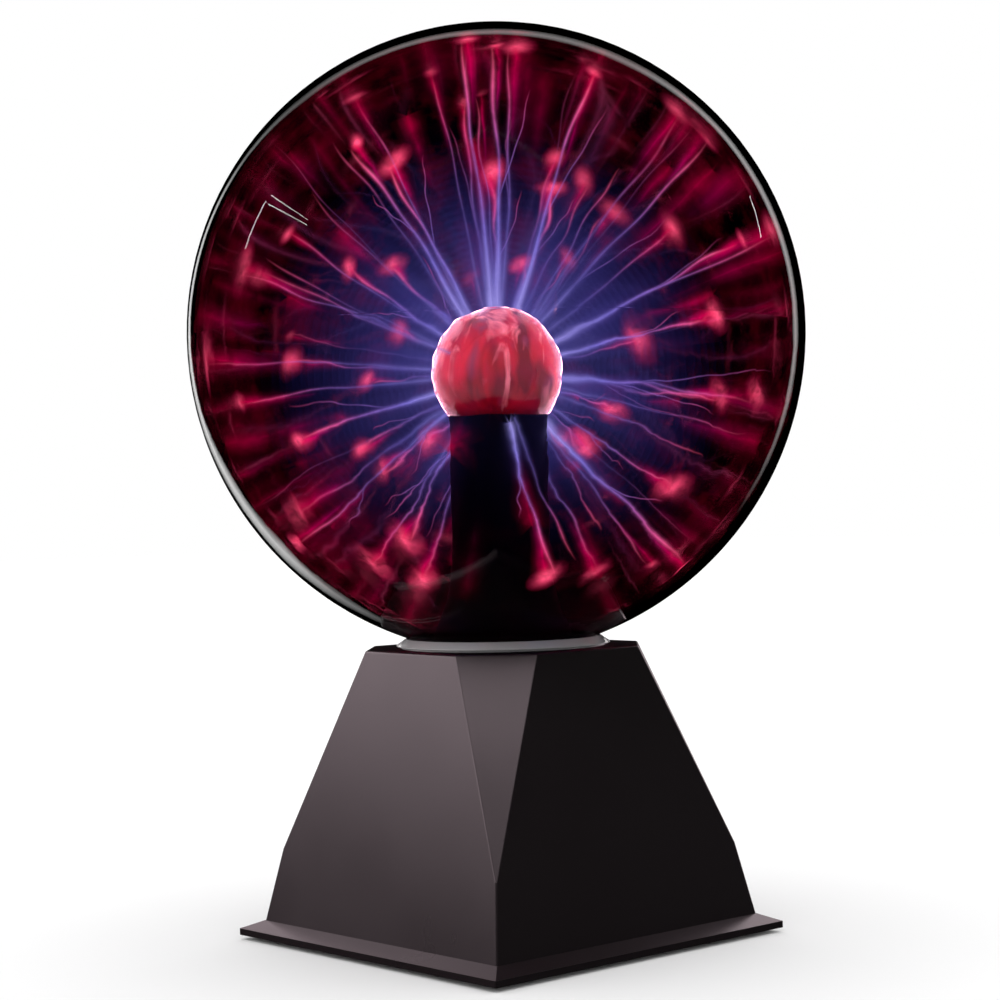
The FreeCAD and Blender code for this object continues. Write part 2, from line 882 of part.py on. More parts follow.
def make_circuit_board():
    """The board with its four screw holes."""
    plate = block(
        "BoardPlate",
        around(0.0, d.board_half_x),
        (d.board_low_y, d.board_top_y),
        (d.board_z, board_top()),
    )
    holes = [
        upright(f"BoardHole{i}", d.board_hole_radius, d.board_z - 1.0, board_top() + 1.0, x, y)
        for i, (x, y) in enumerate(board_hole_places())
    ]
    keep(cut("CircuitBoard", plate, *holes), "circuit_board")


def make_board_screws():
    """Four screws down through the board into the standoffs."""
    flip = turn_about(1, 0, 0, 180)
    screws = []
    for index, (x, y) in enumerate(board_hole_places()):
        one = screw(
            f"BoardScrew{index}",
            d.machine_head_radius,
            d.machine_head_height,
            d.screw_radius - 0.2,
            6.5,
        )
        screws.append(place(one, x, y, board_top() + d.machine_head_height, flip))
    keep(grouped("BoardScrews", *screws), "board_screws")


def leg_places():
    """Where the transformer core's two legs stand along Y: primary first."""
    reach = (d.core_length - d.core_leg) / 2.0
    return d.flyback_base_y - reach, d.flyback_base_y + reach


def winding(name, label, radius, y):
    """A round winding with a square bore for one leg of the core."""
    low = board_top() + d.flyback_base_thick + d.core_yoke + d.winding_gap
    high = low + d.core_window - d.winding_gap * 2.0
    coil = upright(f"{name}Blank", radius, low, high, d.flyback_x, y)
    half = d.core_leg / 2.0 + d.winding_bore_gap
    bore = block(f"{name}Bore", around(d.flyback_x, half), around(y, half), (low - 1.0, high + 1.0))
    return coil, bore, high


def make_flyback():
    """A closed ferrite core on its base, its two windings, the high-voltage outlet and a clip."""
    low = board_top() + d.flyback_base_thick
    core_high = low + d.core_yoke * 2.0 + d.core_window
    span = around(d.flyback_base_y, d.core_length / 2.0)
    half_leg = d.core_leg / 2.0
    window_half = d.core_length / 2.0 - d.core_leg
    frame = block("CoreBlank", around(d.flyback_x, half_leg), span, (low, core_high))
    window = block(
        "CoreWindow",
        around(d.flyback_x, half_leg + 1.0),
        around(d.flyback_base_y, window_half),
        (low + d.core_yoke, core_high - d.core_yoke),
    )
    keep(cut("FlybackCore", frame, window), "flyback_core")
    base = block(
        "FlybackBase",
        around(d.flyback_x, half_leg + 3.0),
        around(d.flyback_base_y, d.core_length / 2.0 + 1.5),
        (board_top(), low),
    )
    keep(base, "flyback_base")
    primary_y, secondary_y = leg_places()
    coil, bore, _ = winding("Primary", "flyback_primary", d.primary_radius, primary_y)
    keep(cut("FlybackPrimary", coil, bore), "flyback_primary")
    coil, bore, high = winding("Secondary", "flyback_secondary", d.secondary_radius, secondary_y)
    outlet_x = d.flyback_x + d.nipple_offset
    outlet_top = high + d.nipple_height
    nipple = upright("Nipple", d.nipple_radius, high - 1.0, outlet_top, outlet_x, secondary_y)
    socket = upright(
        "NippleSocket",
        d.hv_lead_radius,
        outlet_top - 2.0,
        outlet_top + 1.0,
        outlet_x,
        secondary_y,
    )
    keep(
        cut("FlybackSecondary", fused("SecondaryBlank", coil, nipple), bore, socket),
        "flyback_secondary",
    )
    thick = d.clip_thick
    outside = block(
        "ClipOutside",
        around(d.flyback_x, half_leg + thick + 0.1),
        around(d.flyback_base_y, d.clip_width / 2.0),
        (core_high - d.core_yoke + 1.0, core_high + thick + 0.1),
    )
    inside = block(
        "ClipInside",
        around(d.flyback_x, half_leg + 0.1),
        around(d.flyback_base_y, d.clip_width),
        (low, core_high + 0.1),
    )
    keep(cut("CoreClip", outside, inside), "core_clip")


def make_transistor():
    """The driver transistor, its insulating pad, the finned heatsink and the screw."""
    sink_low = board_top()
    sink_y = (d.sink_low_y, d.sink_low_y + d.sink_width)
    plate = block(
        "SinkPlate",
        (d.sink_x, d.sink_x + d.sink_base),
        sink_y,
        (sink_low, sink_low + d.sink_height),
    )
    fins = []
    fin_step = (d.sink_width - d.fin_thick) / 5.0
    for index in range(6):
        fin_low = d.sink_low_y + index * fin_step
        fins.append(
            block(
                f"Fin{index}",
                (d.sink_x, d.sink_x + d.sink_depth),
                (fin_low, fin_low + d.fin_thick),
                (sink_low, sink_low + d.sink_height),
            )
        )
    hole_z = board_top() + d.package_lift + d.package_height + 3.2
    screw_hole = along_x(
        "SinkScrewHole",
        d.machine_radius,
        d.sink_x - 1.0,
        d.sink_x + d.sink_base,
        d.package_y,
        hole_z,
    )
    keep(cut("Heatsink", fused("SinkBlank", plate, *fins), screw_hole), "heatsink")
    half = d.package_width / 2.0
    pad_low = d.sink_x - d.pad_thick
    tab_low = pad_low - d.tab_thick
    package_low = board_top() + d.package_lift
    tab_top = package_low + d.tab_height
    pad = block(
        "PadBlank",
        (pad_low, d.sink_x),
        around(d.package_y, half + 1.0),
        (package_low - 1.0, tab_top + 0.5),
    )
    pad_hole = along_x("PadHole", d.machine_radius + 0.1, pad_low - 1.0, d.sink_x, d.package_y, hole_z)
    keep(cut("TransistorPad", pad, pad_hole), "transistor_pad")
    tab = block("Tab", (tab_low, pad_low), around(d.package_y, half), (package_low, tab_top))
    mould = block(
        "Mould",
        (pad_low - d.package_thick, tab_low + 0.3),
        around(d.package_y, half),
        (package_low, package_low + d.package_height),
    )
    legs = []
    for index in (-1.0, 0.0, 1.0):
        leg_y = d.package_y + index * d.leg_pitch
        leg_x = around(pad_low - 2.6, d.leg_size / 2.0)
        legs.append(
            block(
                f"Leg{int(index) + 1}",
                leg_x,
                around(leg_y, d.leg_size / 2.0),
                (board_top(), package_low + 1.0),
            )
        )
    tab_hole = along_x("TabHole", d.machine_radius + 0.1, tab_low - 1.0, d.sink_x, d.package_y, hole_z)
    keep(
        cut("PowerTransistor", fused("TransistorBlank", tab, mould, *legs), tab_hole),
        "power_transistor",
    )
    fixing = screw(
        "SinkScrew",
        d.machine_head_radius,
        d.machine_head_height,
        d.machine_radius - 0.05,
        d.machine_length - 0.6,
    )
    place(fixing, tab_low - d.machine_head_height, d.package_y, hole_z, turn_about(0, 1, 0, 90))
    keep(fixing, "heatsink_screw")


def can(name, radius, height):
    """A capacitor's can with its rolled groove and vent dish, standing at its own origin."""
    groove = d.can_groove
    return turned(
        name,
        [
            (0.0, 0.0),
            (radius, 0.0),
            (radius, height * 0.1),
            (radius - groove, height * 0.13),
            (radius, height * 0.16),
            (radius, height - groove),
            (radius - groove, height),
            (radius * 0.6, height),
            (radius * 0.6, height - 0.3),
            (0.0, height - 0.3),
        ],
    )


def make_capacitors():
    """The supply's filter can, two coupling cans and a film box."""
    keep(
        place(can("FilterCapacitor", d.filter_radius, d.filter_height), 30.0, 2.0, board_top()),
        "filter_capacitor",
    )
    places = ((22.0, -8.0), (22.0, 13.0))
    cans = [
        place(can(f"Coupling{i}", d.small_cap_radius, d.small_cap_height), x, y, board_top())
        for i, (x, y) in enumerate(places)
    ]
    keep(grouped("CouplingCapacitors", *cans), "coupling_capacitors")
    film_z = (board_top(), board_top() + d.film_height)
    film = block("FilmBlank", around(6.0, d.film_length / 2.0), around(22.0, d.film_width / 2.0), film_z)
    keep(
        rounded("FilmCapacitor", film, length(0.6), lambda b: b.ZMax > SIZES["board_z"] + 3.0),
        "film_capacitor",
    )


def chip(name, x, y):
    """An eight-pin chip: a body with a notch at one end and two rows of pins."""
    low = board_top() + d.chip_lift
    high = low + d.chip_height
    body = block(
        f"{name}Body",
        around(x, d.chip_length / 2.0),
        around(y, d.chip_width / 2.0),
        (low, high),
    )
    notch = upright(f"{name}Notch", 0.9, high - 0.6, high + 1.0, x - d.chip_length.value / 2.0, y)
    pins = []
    for row_side in (-1.0, 1.0):
        for index in range(4):
            pin_x = x + (index - 1.5) * 2.54
            pin_y = y + row_side * d.chip_row_half
            reach = sorted((pin_y.value, y + row_side * 2.9))
            pins.append(
                block(
                    f"{name}Pin",
                    around(pin_x, d.pin_size / 2.0),
                    around(pin_y, d.pin_size / 2.0),
                    (board_top(), low + 2.0),
                )
            )
            pins.append(
                block(f"{name}Bend", around(pin_x, d.pin_size / 2.0), reach, (low + 1.6, low + 2.0))
            )
    return fused(name, cut(f"{name}Notched", body, notch), *pins)


def make_chips():
    keep(chip("DriverChip", 7.0, -30.0), "driver_chip")
    keep(chip("AudioChip", 7.0, -14.0), "audio_chip")


def make_toroid():
    """The supply choke, a ring that lies on the board."""
    ring = doc.addObject("Part::Torus", "ToroidInductor")
    bind(ring, Radius1=d.toroid_radius, Radius2=d.toroid_section)
    place(ring, 8.0, 4.0, board_top() + d.toroid_section)
    keep(ring, "toroid_inductor")


def axial(name, radius, reach, x, y):
    """A part that lies along X on the board with a wire leg bent down at each end."""
    z = board_top() + radius
    half = reach / 2.0
    span = d.resistor_span / 2.0
    wire = d.wire_leg_radius
    body = along_x(f"{name}Body", radius, x - half, x + half, y, z)
    lead = along_x(f"{name}Lead", wire, x - span, x + span, y, z)
    feet = [
        upright(f"{name}Foot{i}", wire, board_top(), z, x + side * span, y)
        for i, side in enumerate((-1.0, 1.0))
    ]
    return fused(name, body, lead, *feet)


def make_axial_parts():
    """Five resistors in one group, and the diode that guards the supply."""
    places = ((8.0, -22.0), (21.0, -37.0), (8.0, -37.0), (32.0, 14.0), (32.0, 19.0))
    bodies = [
        axial(f"Resistor{i}", d.resistor_radius, d.resistor_length, length(x), y)
        for i, (x, y) in enumerate(places)
    ]
    keep(grouped("Resistors", *bodies), "resistors")
    keep(axial("RectifierDiode", d.diode_radius, length(5.2), length(22.0), 24.0), "rectifier_diode")


# ---- controls in the back panel ---------------------------------------------------------


def make_microphone():
    """An electret can in a rubber grommet behind the sound holes."""
    panel_inside = d.panel_y - d.panel_thick
    grommet_low = panel_inside - d.grommet_length
    outer = along_y(
        "GrommetBlank",
        d.mic_radius + d.grommet_wall,
        grommet_low,
        panel_inside,
        d.mic_x,
        d.control_z,
    )
    bore = along_y(
        "GrommetBore",
        d.mic_radius,
        grommet_low - 1.0,
        panel_inside + 1.0,
        d.mic_x,
        d.control_z,
    )
    keep(cut("MicrophoneGrommet", outer, bore), "microphone_grommet")
    mic_top = panel_inside - 0.6
    keep(
        along_y("Microphone", d.mic_radius, mic_top - d.mic_length, mic_top, d.mic_x, d.control_z),
        "microphone",
    )


def make_switch():
    """The slide switch: frame, knob, moving contact, terminal board, terminals and screws."""
    top = d.panel_y - d.panel_thick
    low = top - d.frame_depth
    x = d.switch_x
    z = d.control_z
    wall = d.frame_wall
    cavity_top = top - wall
    slot_half = d.knob_half_x + d.switch_travel / 2.0 + d.slot_gap
    shell = block("FrameShell", around(x, d.frame_half_x), (low, top), around(z, d.frame_half_z))
    ears = block(
        "FrameEars",
        around(x, d.ear_half_x),
        (top - d.ear_thick, top),
        around(z, d.frame_half_z),
    )
    hollow = block(
        "FrameHollow",
        around(x, d.frame_half_x - wall),
        (low - 1.0, cavity_top),
        around(z, d.frame_half_z - wall),
    )
    mouth = block(
        "FrameMouth",
        around(x, slot_half),
        (low, top + 1.0),
        around(z, d.knob_half_z + d.slot_gap),
    )
    ear_holes = [
        along_y(f"EarHole{i}", d.machine_radius, top - 2.0, top + 1.0, x + side * d.switch_screw_x, z)
        for i, side in enumerate((-1.0, 1.0))
    ]
    keep(cut("SwitchFrame", fused("FrameBlank", shell, ears), hollow, mouth, *ear_holes), "switch_frame")
    knob_x = x - d.switch_travel / 2.0
    slider_top = cavity_top - 0.15
    slider_low = slider_top - d.slider_thick
    knob_top = d.panel_y + d.knob_proud
    slider = block(
        "Slider",
        around(knob_x, d.slider_half_x),
        (slider_low, slider_top),
        around(z, d.slider_half_z),
    )
    stem = block(
        "KnobStem",
        around(knob_x, d.knob_half_x),
        (slider_low + 1.0, knob_top),
        around(z, d.knob_half_z),
    )
    grooves = [
        block(
            f"KnobGroove{i}",
            around(knob_x + i * 1.5, 0.35),
            (knob_top - 0.7, knob_top + 1.0),
            around(z, d.knob_half_z + 1.0),
        )
        for i in (-2, -1, 0, 1, 2)
    ]
    pocket = block(
        "ClipPocket",
        around(knob_x, 4.1),
        (slider_low - 1.0, slider_low + 1.2),
        around(z, 1.6),
    )
    keep(cut("SwitchKnob", fused("KnobBlank", slider, stem), pocket, *grooves), "switch_knob")
    clip_low = slider_low - d.clip_depth + 1.2
    clip_block = block("ContactBlank", around(knob_x, 4.0), (clip_low, slider_low + 1.1), around(z, 1.5))
    clip_gap = block(
        "ContactGap",
        around(knob_x, 3.5),
        (clip_low - 1.0, slider_low + 0.6),
        around(z, 2.0),
    )
    keep(cut("SwitchContactClip", clip_block, clip_gap), "switch_contact_clip")
    board_top_y = low + d.terminal_board_thick
    inner_x = d.frame_half_x - wall - 0.1
    inner_z = d.frame_half_z - wall - 0.1
    terminal_plate = block("TerminalPlate", around(x, inner_x), (low, board_top_y), around(z, inner_z))
    slots, terminals = [], []
    for index in (-1, 0, 1):
        middle = x + index * d.terminal_pitch
        half = d.terminal_size / 2.0
        slots.append(
            block(
                f"TerminalSlot{index + 1}",
                around(middle, half),
                (low - 1.0, board_top_y + 1.0),
                around(z, half),
            )
        )
        terminals.append(
            block(
                f"Terminal{index + 1}",
                around(middle, half),
                (low - d.terminal_length, board_top_y),
                around(z, half),
            )
        )
    keep(cut("SwitchTerminalBoard", terminal_plate, *slots), "switch_terminal_board")
    keep(grouped("SwitchTerminals", *terminals), "switch_terminals")
    screws = []
    for index, side in enumerate((-1.0, 1.0)):
        one = screw(
            f"SwitchScrew{index}",
            d.machine_head_radius,
            d.machine_head_height,
            d.machine_radius - 0.05,
            d.machine_length,
        )
        place(
            one,
            x + side * d.switch_screw_x,
            d.panel_y + d.machine_head_height,
            z,
            turn_about(1, 0, 0, 90),
        )
        screws.append(one)
    keep(grouped("SwitchScrews", *screws), "switch_screws")


def make_dc_jack():
    """The power inlet: a flanged barrel through the panel, its centre pin, nut and solder lugs."""
    top = d.panel_y + d.jack_flange_thick
    low = d.panel_y - d.jack_depth
    x = d.jack_x
    z = d.control_z
    flange = along_y("JackFlange", d.jack_flange_radius, d.panel_y, top, x, z)
    barrel = along_y("JackBarrel", d.jack_barrel_radius, low, d.panel_y + 0.5, x, z)
    bore = along_y("JackBore", d.jack_bore_radius, top - d.jack_bore_depth, top + 1.0, x, z)
    pin_hole = along_y("JackPinHole", d.jack_pin_radius, low - 1.0, top, x, z)
    keep(cut("DcJackBody", fused("JackBlank", flange, barrel), bore, pin_hole), "dc_jack_body")
    keep(along_y("DcJackPin", d.jack_pin_radius, low - 1.5, top - 1.5, x, z), "dc_jack_pin")
    panel_inside = d.panel_y - d.panel_thick
    corner = d.nut_half_flats / math.cos(math.radians(30.0))
    nut_points = []
    for index in range(6):
        angle = math.radians(60.0 * index)
        nut_points.append((corner * round(math.cos(angle), 9), corner * round(math.sin(angle), 9)))
    nut = padded("JackNutBlank", "XY_Plane", nut_points, d.nut_thick)
    place(nut, x, panel_inside, z, turn_about(1, 0, 0, 90))
    nut_bore = along_y(
        "JackNutBore",
        d.nut_bore,
        panel_inside - d.nut_thick - 1.0,
        panel_inside + 1.0,
        x,
        z,
    )
    keep(cut("DcJackNut", nut, nut_bore), "dc_jack_nut")
    lugs = []
    for index, side in enumerate((-1.0, 1.0)):
        lug_x = x + side * 3.6
        lug = block(
            f"Lug{index}",
            around(lug_x, d.lug_width / 2.0),
            (low - d.lug_length, low),
            around(z, d.lug_thick / 2.0),
        )
        hole = upright(f"LugHole{index}", 0.6, z - 2.0, z + 2.0, lug_x, low - d.lug_length + 1.6)
        lugs.append(cut(f"LugCut{index}", lug, hole))
    keep(grouped("DcJackLugs", *lugs), "dc_jack_lugs")


# ---- wires ------------------------------------------------------------------------------


def bent_path(points, bends):
    """A wire of straight runs joined by tangent arcs, one bend radius at each inner point."""
    edges = []
    start = points[0]
    for before, corner, after, bend in zip(points, points[1:], points[2:], bends):
        into = (corner - before).normalize()
        out = (after - corner).normalize()
        half_turn = into.getAngle(out) / 2.0
        setback = bend * math.tan(half_turn)
        arc_start = corner - into * setback
        arc_end = corner + out * setback
        inward = (out - into).normalize()
        centre = corner + inward * (bend / math.cos(half_turn))
        arc_middle = centre - inward * bend
        edges.append(Part.LineSegment(start, arc_start).toShape())
        edges.append(Part.Arc(arc_start, arc_middle, arc_end).toShape())
        start = arc_end
    edges.append(Part.LineSegment(start, points[-1]).toShape())
    return Part.Wire(edges)


def wire_shape(points, bends, radius):
    """A round wire along a bent path. Its volume must be its section times its length."""
    path = bent_path(points, bends)
    section = Part.Wire(Part.Circle(points[0], points[1] - points[0], radius).toShape())
    tube = path.makePipeShell([section], True, True)
    expected = math.pi * radius * radius * path.Length
    if abs(tube.Volume - expected) > 0.01 * expected:
        raise RuntimeError("a wire's volume is not its section times its length")
    return tube


def read(name):
    """A cell's present value, for shapes that no document object can bind."""
    return float(sheet.get(name))


def make_hv_lead():
    """The high-voltage lead from the transformer's outlet up into the boot."""
    outlet = FreeCAD.Vector(read("flyback_x") + read("nipple_offset"), leg_places()[1].value, 0)
    winding_top = board_top() + d.flyback_base_thick + d.core_yoke + d.core_window - d.winding_gap
    outlet_z = (winding_top + d.nipple_height).value - 2.0
    mouth_z = read("boot_low_z") + read("wire_bend") * 0.5
    points = [
        FreeCAD.Vector(outlet.x, outlet.y, outlet_z),
        FreeCAD.Vector(outlet.x, outlet.y, outlet_z + 9.6),
        FreeCAD.Vector(0, 0, mouth_z - 9.0),
        FreeCAD.Vector(0, 0, mouth_z),
    ]
    lead = doc.addObject("Part::Feature", "HvLead")
    lead.Shape = wire_shape(points, (10.0, 10.0), read("hv_lead_radius"))
    keep(lead, "hv_lead")


def hook_up_wires(name, label, starts):
    """Wires that leave each start towards -Y and turn down into the board's back edge."""
    end_y = read("board_top_y") - 2.5
    foot_z = board_top().value
    tubes = []
    for start in starts:
        corner = FreeCAD.Vector(start.x, end_y, start.z)
        foot = FreeCAD.Vector(start.x, end_y, foot_z)
        tubes.append(wire_shape([start, corner, foot], (read("wire_bend"),), read("wire_radius")))
    wires = doc.addObject("Part::Feature", name)
    wires.Shape = Part.makeCompound(tubes)
    keep(wires, label)


def make_wires():
    """The leads from the switch, the jack and the microphone to the board."""
    frame_low = read("panel_y") - read("panel_thick") - read("frame_depth")
    switch_y = frame_low - read("terminal_length")
    pitch = read("terminal_pitch")
    z = read("control_z")
    switch_starts = [FreeCAD.Vector(read("switch_x") + i * pitch, switch_y, z) for i in (-1, 0, 1)]
    hook_up_wires("SwitchLeads", "switch_leads", switch_starts)
    jack_back = read("panel_y") - read("jack_depth") - read("lug_length")
    lead_x = read("jack_x")
    jack_z = z - read("lug_thick") / 2.0 - read("wire_radius")
    jack_starts = [FreeCAD.Vector(lead_x + side * 3.6, jack_back + 2.5, jack_z) for side in (-1, 1)]
    hook_up_wires("DcLeads", "dc_leads", jack_starts)
    mic_back = read("panel_y") - read("panel_thick") - 0.6 - read("mic_length")
    mic_starts = [FreeCAD.Vector(read("mic_x") + side * 1.6, mic_back, z) for side in (-1, 1)]
    hook_up_wires("MicrophoneLeads", "microphone_leads", mic_starts)


# ---- build, check and write -------------------------------------------------------------


def main():
    make_globe_glass()
    make_electrode_glass()
    make_stem_shroud()
    make_electrode_parts()
    make_neck_collar()
    make_seat_and_bond()
    make_lock_ring()
    make_base_housing()
    make_bottom_cover()
    make_cover_screws()
    make_feet()
    make_circuit_board()
    make_board_screws()
    make_flyback()
    make_transistor()
    make_capacitors()
    make_chips()
    make_toroid()
    make_axial_parts()
    make_microphone()
    make_switch()
    make_dc_jack()
    make_hv_lead()
    make_wires()
    doc.recompute()
    faults = [f"{obj.Label}: {obj.State}" for obj in doc.Objects if {"Invalid", "Error"} & set(obj.State)]
    for node in nodes:
        if node.Shape.isNull() or not node.Shape.isValid() or not node.Shape.Solids:
            faults.append(f"{node.Label}: no valid solid")
    if faults:
        raise RuntimeError("; ".join(faults))
    os.makedirs("parts", exist_ok=True)
    for node in nodes:
        node.Shape.exportStep(f"parts/{node.Label}.step")
        print(node.Label, len(node.Shape.Solids), round(node.Shape.Volume, 1))


main()
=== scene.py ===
import math
import random

import bmesh
import bpy
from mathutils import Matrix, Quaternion, Vector


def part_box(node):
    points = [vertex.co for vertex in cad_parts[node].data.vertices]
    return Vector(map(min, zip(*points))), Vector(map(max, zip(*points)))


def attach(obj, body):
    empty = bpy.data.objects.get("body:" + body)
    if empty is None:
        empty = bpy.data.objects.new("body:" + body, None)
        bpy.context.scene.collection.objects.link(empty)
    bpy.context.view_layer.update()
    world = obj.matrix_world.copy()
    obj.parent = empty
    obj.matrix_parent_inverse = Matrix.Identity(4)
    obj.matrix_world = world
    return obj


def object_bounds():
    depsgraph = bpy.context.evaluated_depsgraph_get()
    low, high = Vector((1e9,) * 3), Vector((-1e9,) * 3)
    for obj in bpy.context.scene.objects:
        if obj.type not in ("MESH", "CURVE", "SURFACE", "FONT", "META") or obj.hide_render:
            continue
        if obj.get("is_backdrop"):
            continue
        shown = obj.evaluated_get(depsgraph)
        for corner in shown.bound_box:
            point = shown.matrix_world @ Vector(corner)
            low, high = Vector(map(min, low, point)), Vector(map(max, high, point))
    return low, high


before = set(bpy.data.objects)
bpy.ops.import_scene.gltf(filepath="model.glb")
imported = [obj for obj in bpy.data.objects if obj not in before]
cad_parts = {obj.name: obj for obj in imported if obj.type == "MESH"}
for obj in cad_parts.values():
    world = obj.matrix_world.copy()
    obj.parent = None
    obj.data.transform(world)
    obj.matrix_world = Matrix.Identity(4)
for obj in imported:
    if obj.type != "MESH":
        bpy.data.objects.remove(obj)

CAD_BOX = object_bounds()
SCENE = bpy.context.scene
MM = 0.001

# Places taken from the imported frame, in metres.
BULB_RADIUS = 0.0215
GLASS_WALL = 0.002
GLOBE_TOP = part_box("globe_glass")[1].z
GLOBE_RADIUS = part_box("globe_glass")[1].x
GLOBE_CENTRE = Vector((0, 0, GLOBE_TOP - GLOBE_RADIUS))
BULB_CENTRE = Vector((0, 0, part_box("electrode_glass")[1].z - BULB_RADIUS))
SLEEVE_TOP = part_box("stem_shroud")[1].z
INSIDE_RADIUS = GLOBE_RADIUS - GLASS_WALL

# The view: a long lens at desk height, looking at the base's front corner.
VIEW_AZIMUTH = -42.17
VIEW_DISTANCE = 0.756
VIEW_HEIGHT = 0.142
VIEW_PITCH = 0.16
VIEW_ROLL = -1.31
VIEW_LENS = 82.2


# ---- node helpers -----------------------------------------------------------------------


def add(tree, kind, inputs=None, **settings):
    """Adds a shader node. A socket given as an input's value is linked to it."""
    node = tree.nodes.new(kind)
    for name, value in settings.items():
        setattr(node, name, value)
    for name, value in (inputs or {}).items():
        if isinstance(value, bpy.types.NodeSocket):
            tree.links.new(value, node.inputs[name])
        else:
            node.inputs[name].default_value = value
    return node


def material(name, **values):
    """A new Principled material with plain values on its own sockets."""
    mat = bpy.data.materials.new(name)
    mat.use_nodes = True
    shader = mat.node_tree.nodes["Principled BSDF"]
    for key, value in values.items():
        socket = shader.inputs[key.replace("_", " ")]
        socket.default_value = (*value, 1.0) if isinstance(value, tuple) and len(value) == 3 else value
    return mat, mat.node_tree, shader


def place_coords(tree):
    return add(tree, "ShaderNodeTexCoord").outputs["Object"]


def noise(tree, scale, detail=3.0, roughness=0.5, coords=None, distortion=0.0):
    """A noise value from 0 to 1 at a scale in cycles per metre."""
    inputs = {
        "Vector": coords if coords is not None else place_coords(tree),
        "Scale": scale,
        "Detail": detail,
        "Roughness": roughness,
        "Distortion": distortion,
    }
    return add(tree, "ShaderNodeTexNoise", inputs).outputs["Fac"]


def mapped(tree, value, low, high, to_low, to_high):
    """A value's span moved onto another span and held there."""
    inputs = {"Value": value, "From Min": low, "From Max": high, "To Min": to_low, "To Max": to_high}
    return add(tree, "ShaderNodeMapRange", inputs).outputs["Result"]


def maths(tree, operation, first, second=0.0):
    return add(tree, "ShaderNodeMath", {0: first, 1: second}, operation=operation).outputs[0]


def blended(tree, factor, first, second):
    """A colour mixed from two by a factor."""
    mix = add(tree, "ShaderNodeMix", {"Factor": factor}, data_type="RGBA")
    for index, value in ((6, first), (7, second)):
        if isinstance(value, bpy.types.NodeSocket):
            tree.links.new(value, mix.inputs[index])
        else:
            mix.inputs[index].default_value = (*value, 1.0)
    return mix.outputs[2]


def bumped(tree, shader, value, distance, strength=1.0):
    bump = add(tree, "ShaderNodeBump", {"Height": value, "Distance": distance, "Strength": strength})
    tree.links.new(bump.outputs["Normal"], shader.inputs["Normal"])


def grained(name, colour, second, rough, rough_spread, grain, depth, **values):
    """A moulded or drawn surface: two close shades, uneven gloss and a fine grain."""
    mat, tree, shader = material(name, **values)
    broad = noise(tree, grain * 0.08, 4.0)
    fine = noise(tree, grain, 2.0)
    tree.links.new(blended(tree, broad, colour, second), shader.inputs["Base Color"])
    uneven = mapped(tree, broad, 0.3, 0.7, rough - rough_spread, rough + rough_spread)
    tree.links.new(uneven, shader.inputs["Roughness"])
    bumped(tree, shader, fine, depth)
    return mat


def metal(name, colour, second, rough, rough_spread, grain, depth):
    return grained(name, colour, second, rough, rough_spread, grain, depth, Metallic=1.0)


# ---- materials of the CAD nodes ---------------------------------------------------------


def clear_glass():
    mat, _, _ = material(
        "globe_clear_glass",
        Base_Color=(1.0, 1.0, 1.0),
        Roughness=0.0,
        IOR=1.46,
        Transmission_Weight=1.0,
    )
    return mat


def bulb_glass():
    """The coated electrode: marbled red and pink light on the bulb, dark on the stem."""
    mat, tree, shader = material("electrode_glow", Base_Color=(0.004, 0.0, 0.0), Roughness=0.08, IOR=1.12)
    coords = place_coords(tree)
    upright = add(tree, "ShaderNodeMapping", {"Vector": coords, "Scale": (1.0, 1.0, 0.35)}).outputs[0]
    broad = mapped(tree, noise(tree, 100.0, 2.0, 0.45, upright, 0.5), 0.40, 0.62, 0.0, 1.0)
    veins = mapped(tree, noise(tree, 125.0, 3.0, 0.5, upright, 0.8), 0.54, 0.70, 0.0, 1.0)
    mauve = mapped(tree, noise(tree, 80.0, 2.0, 0.5, upright, 0.4), 0.54, 0.64, 0.0, 0.85)
    red = blended(tree, broad, (0.09, 0.0, 0.005), (0.58, 0.006, 0.032))
    stained = blended(tree, mauve, red, (0.20, 0.03, 0.10))
    colour = blended(tree, veins, stained, (1.0, 0.22, 0.32))
    height = add(tree, "ShaderNodeSeparateXYZ", {"Vector": coords}).outputs["Z"]
    lit = mapped(tree, height, SLEEVE_TOP, SLEEVE_TOP + 0.013, 0.0, 1.0)
    tree.links.new(colour, shader.inputs["Emission Color"])
    tree.links.new(lit, shader.inputs["Emission Strength"])
    return mat


def housing_plastic():
    """Satin black moulding with a fine even grain and slightly uneven gloss."""
    mat, tree, shader = material("housing_black", Base_Color=(0.0055, 0.004, 0.0046), IOR=1.52)
    broad = noise(tree, 22.0, 3.0)
    uneven = mapped(tree, broad, 0.3, 0.7, 0.27, 0.33)
    tree.links.new(uneven, shader.inputs["Roughness"])
    bumped(tree, shader, noise(tree, 1500.0, 2.0), 0.00002, 0.5)
    return mat


def wound_wire(name, colour, pitch):
    """Close turns of enamelled wire, one ridge a turn up the Z axis, with painted shade in the grooves
    between turns.
    """
    mat, tree, shader = material(name, Base_Color=colour, Metallic=0.8, Roughness=0.3)
    inputs = {"Vector": place_coords(tree), "Scale": 0.5 / pitch / math.pi, "Distortion": 0.4}
    wave = add(tree, "ShaderNodeTexWave", inputs, wave_type="BANDS", bands_direction="Z")
    # Painted shade: a darker copy of the wire's colour laid into the groove between turns, where shadow
    # falls.
    groove_painted_shade = tuple(part * 0.35 for part in colour)
    tree.links.new(blended(tree, wave.outputs["Fac"], groove_painted_shade, colour), shader.inputs["Base Color"])
    bumped(tree, shader, wave.outputs["Fac"], pitch * 0.4)
    return mat


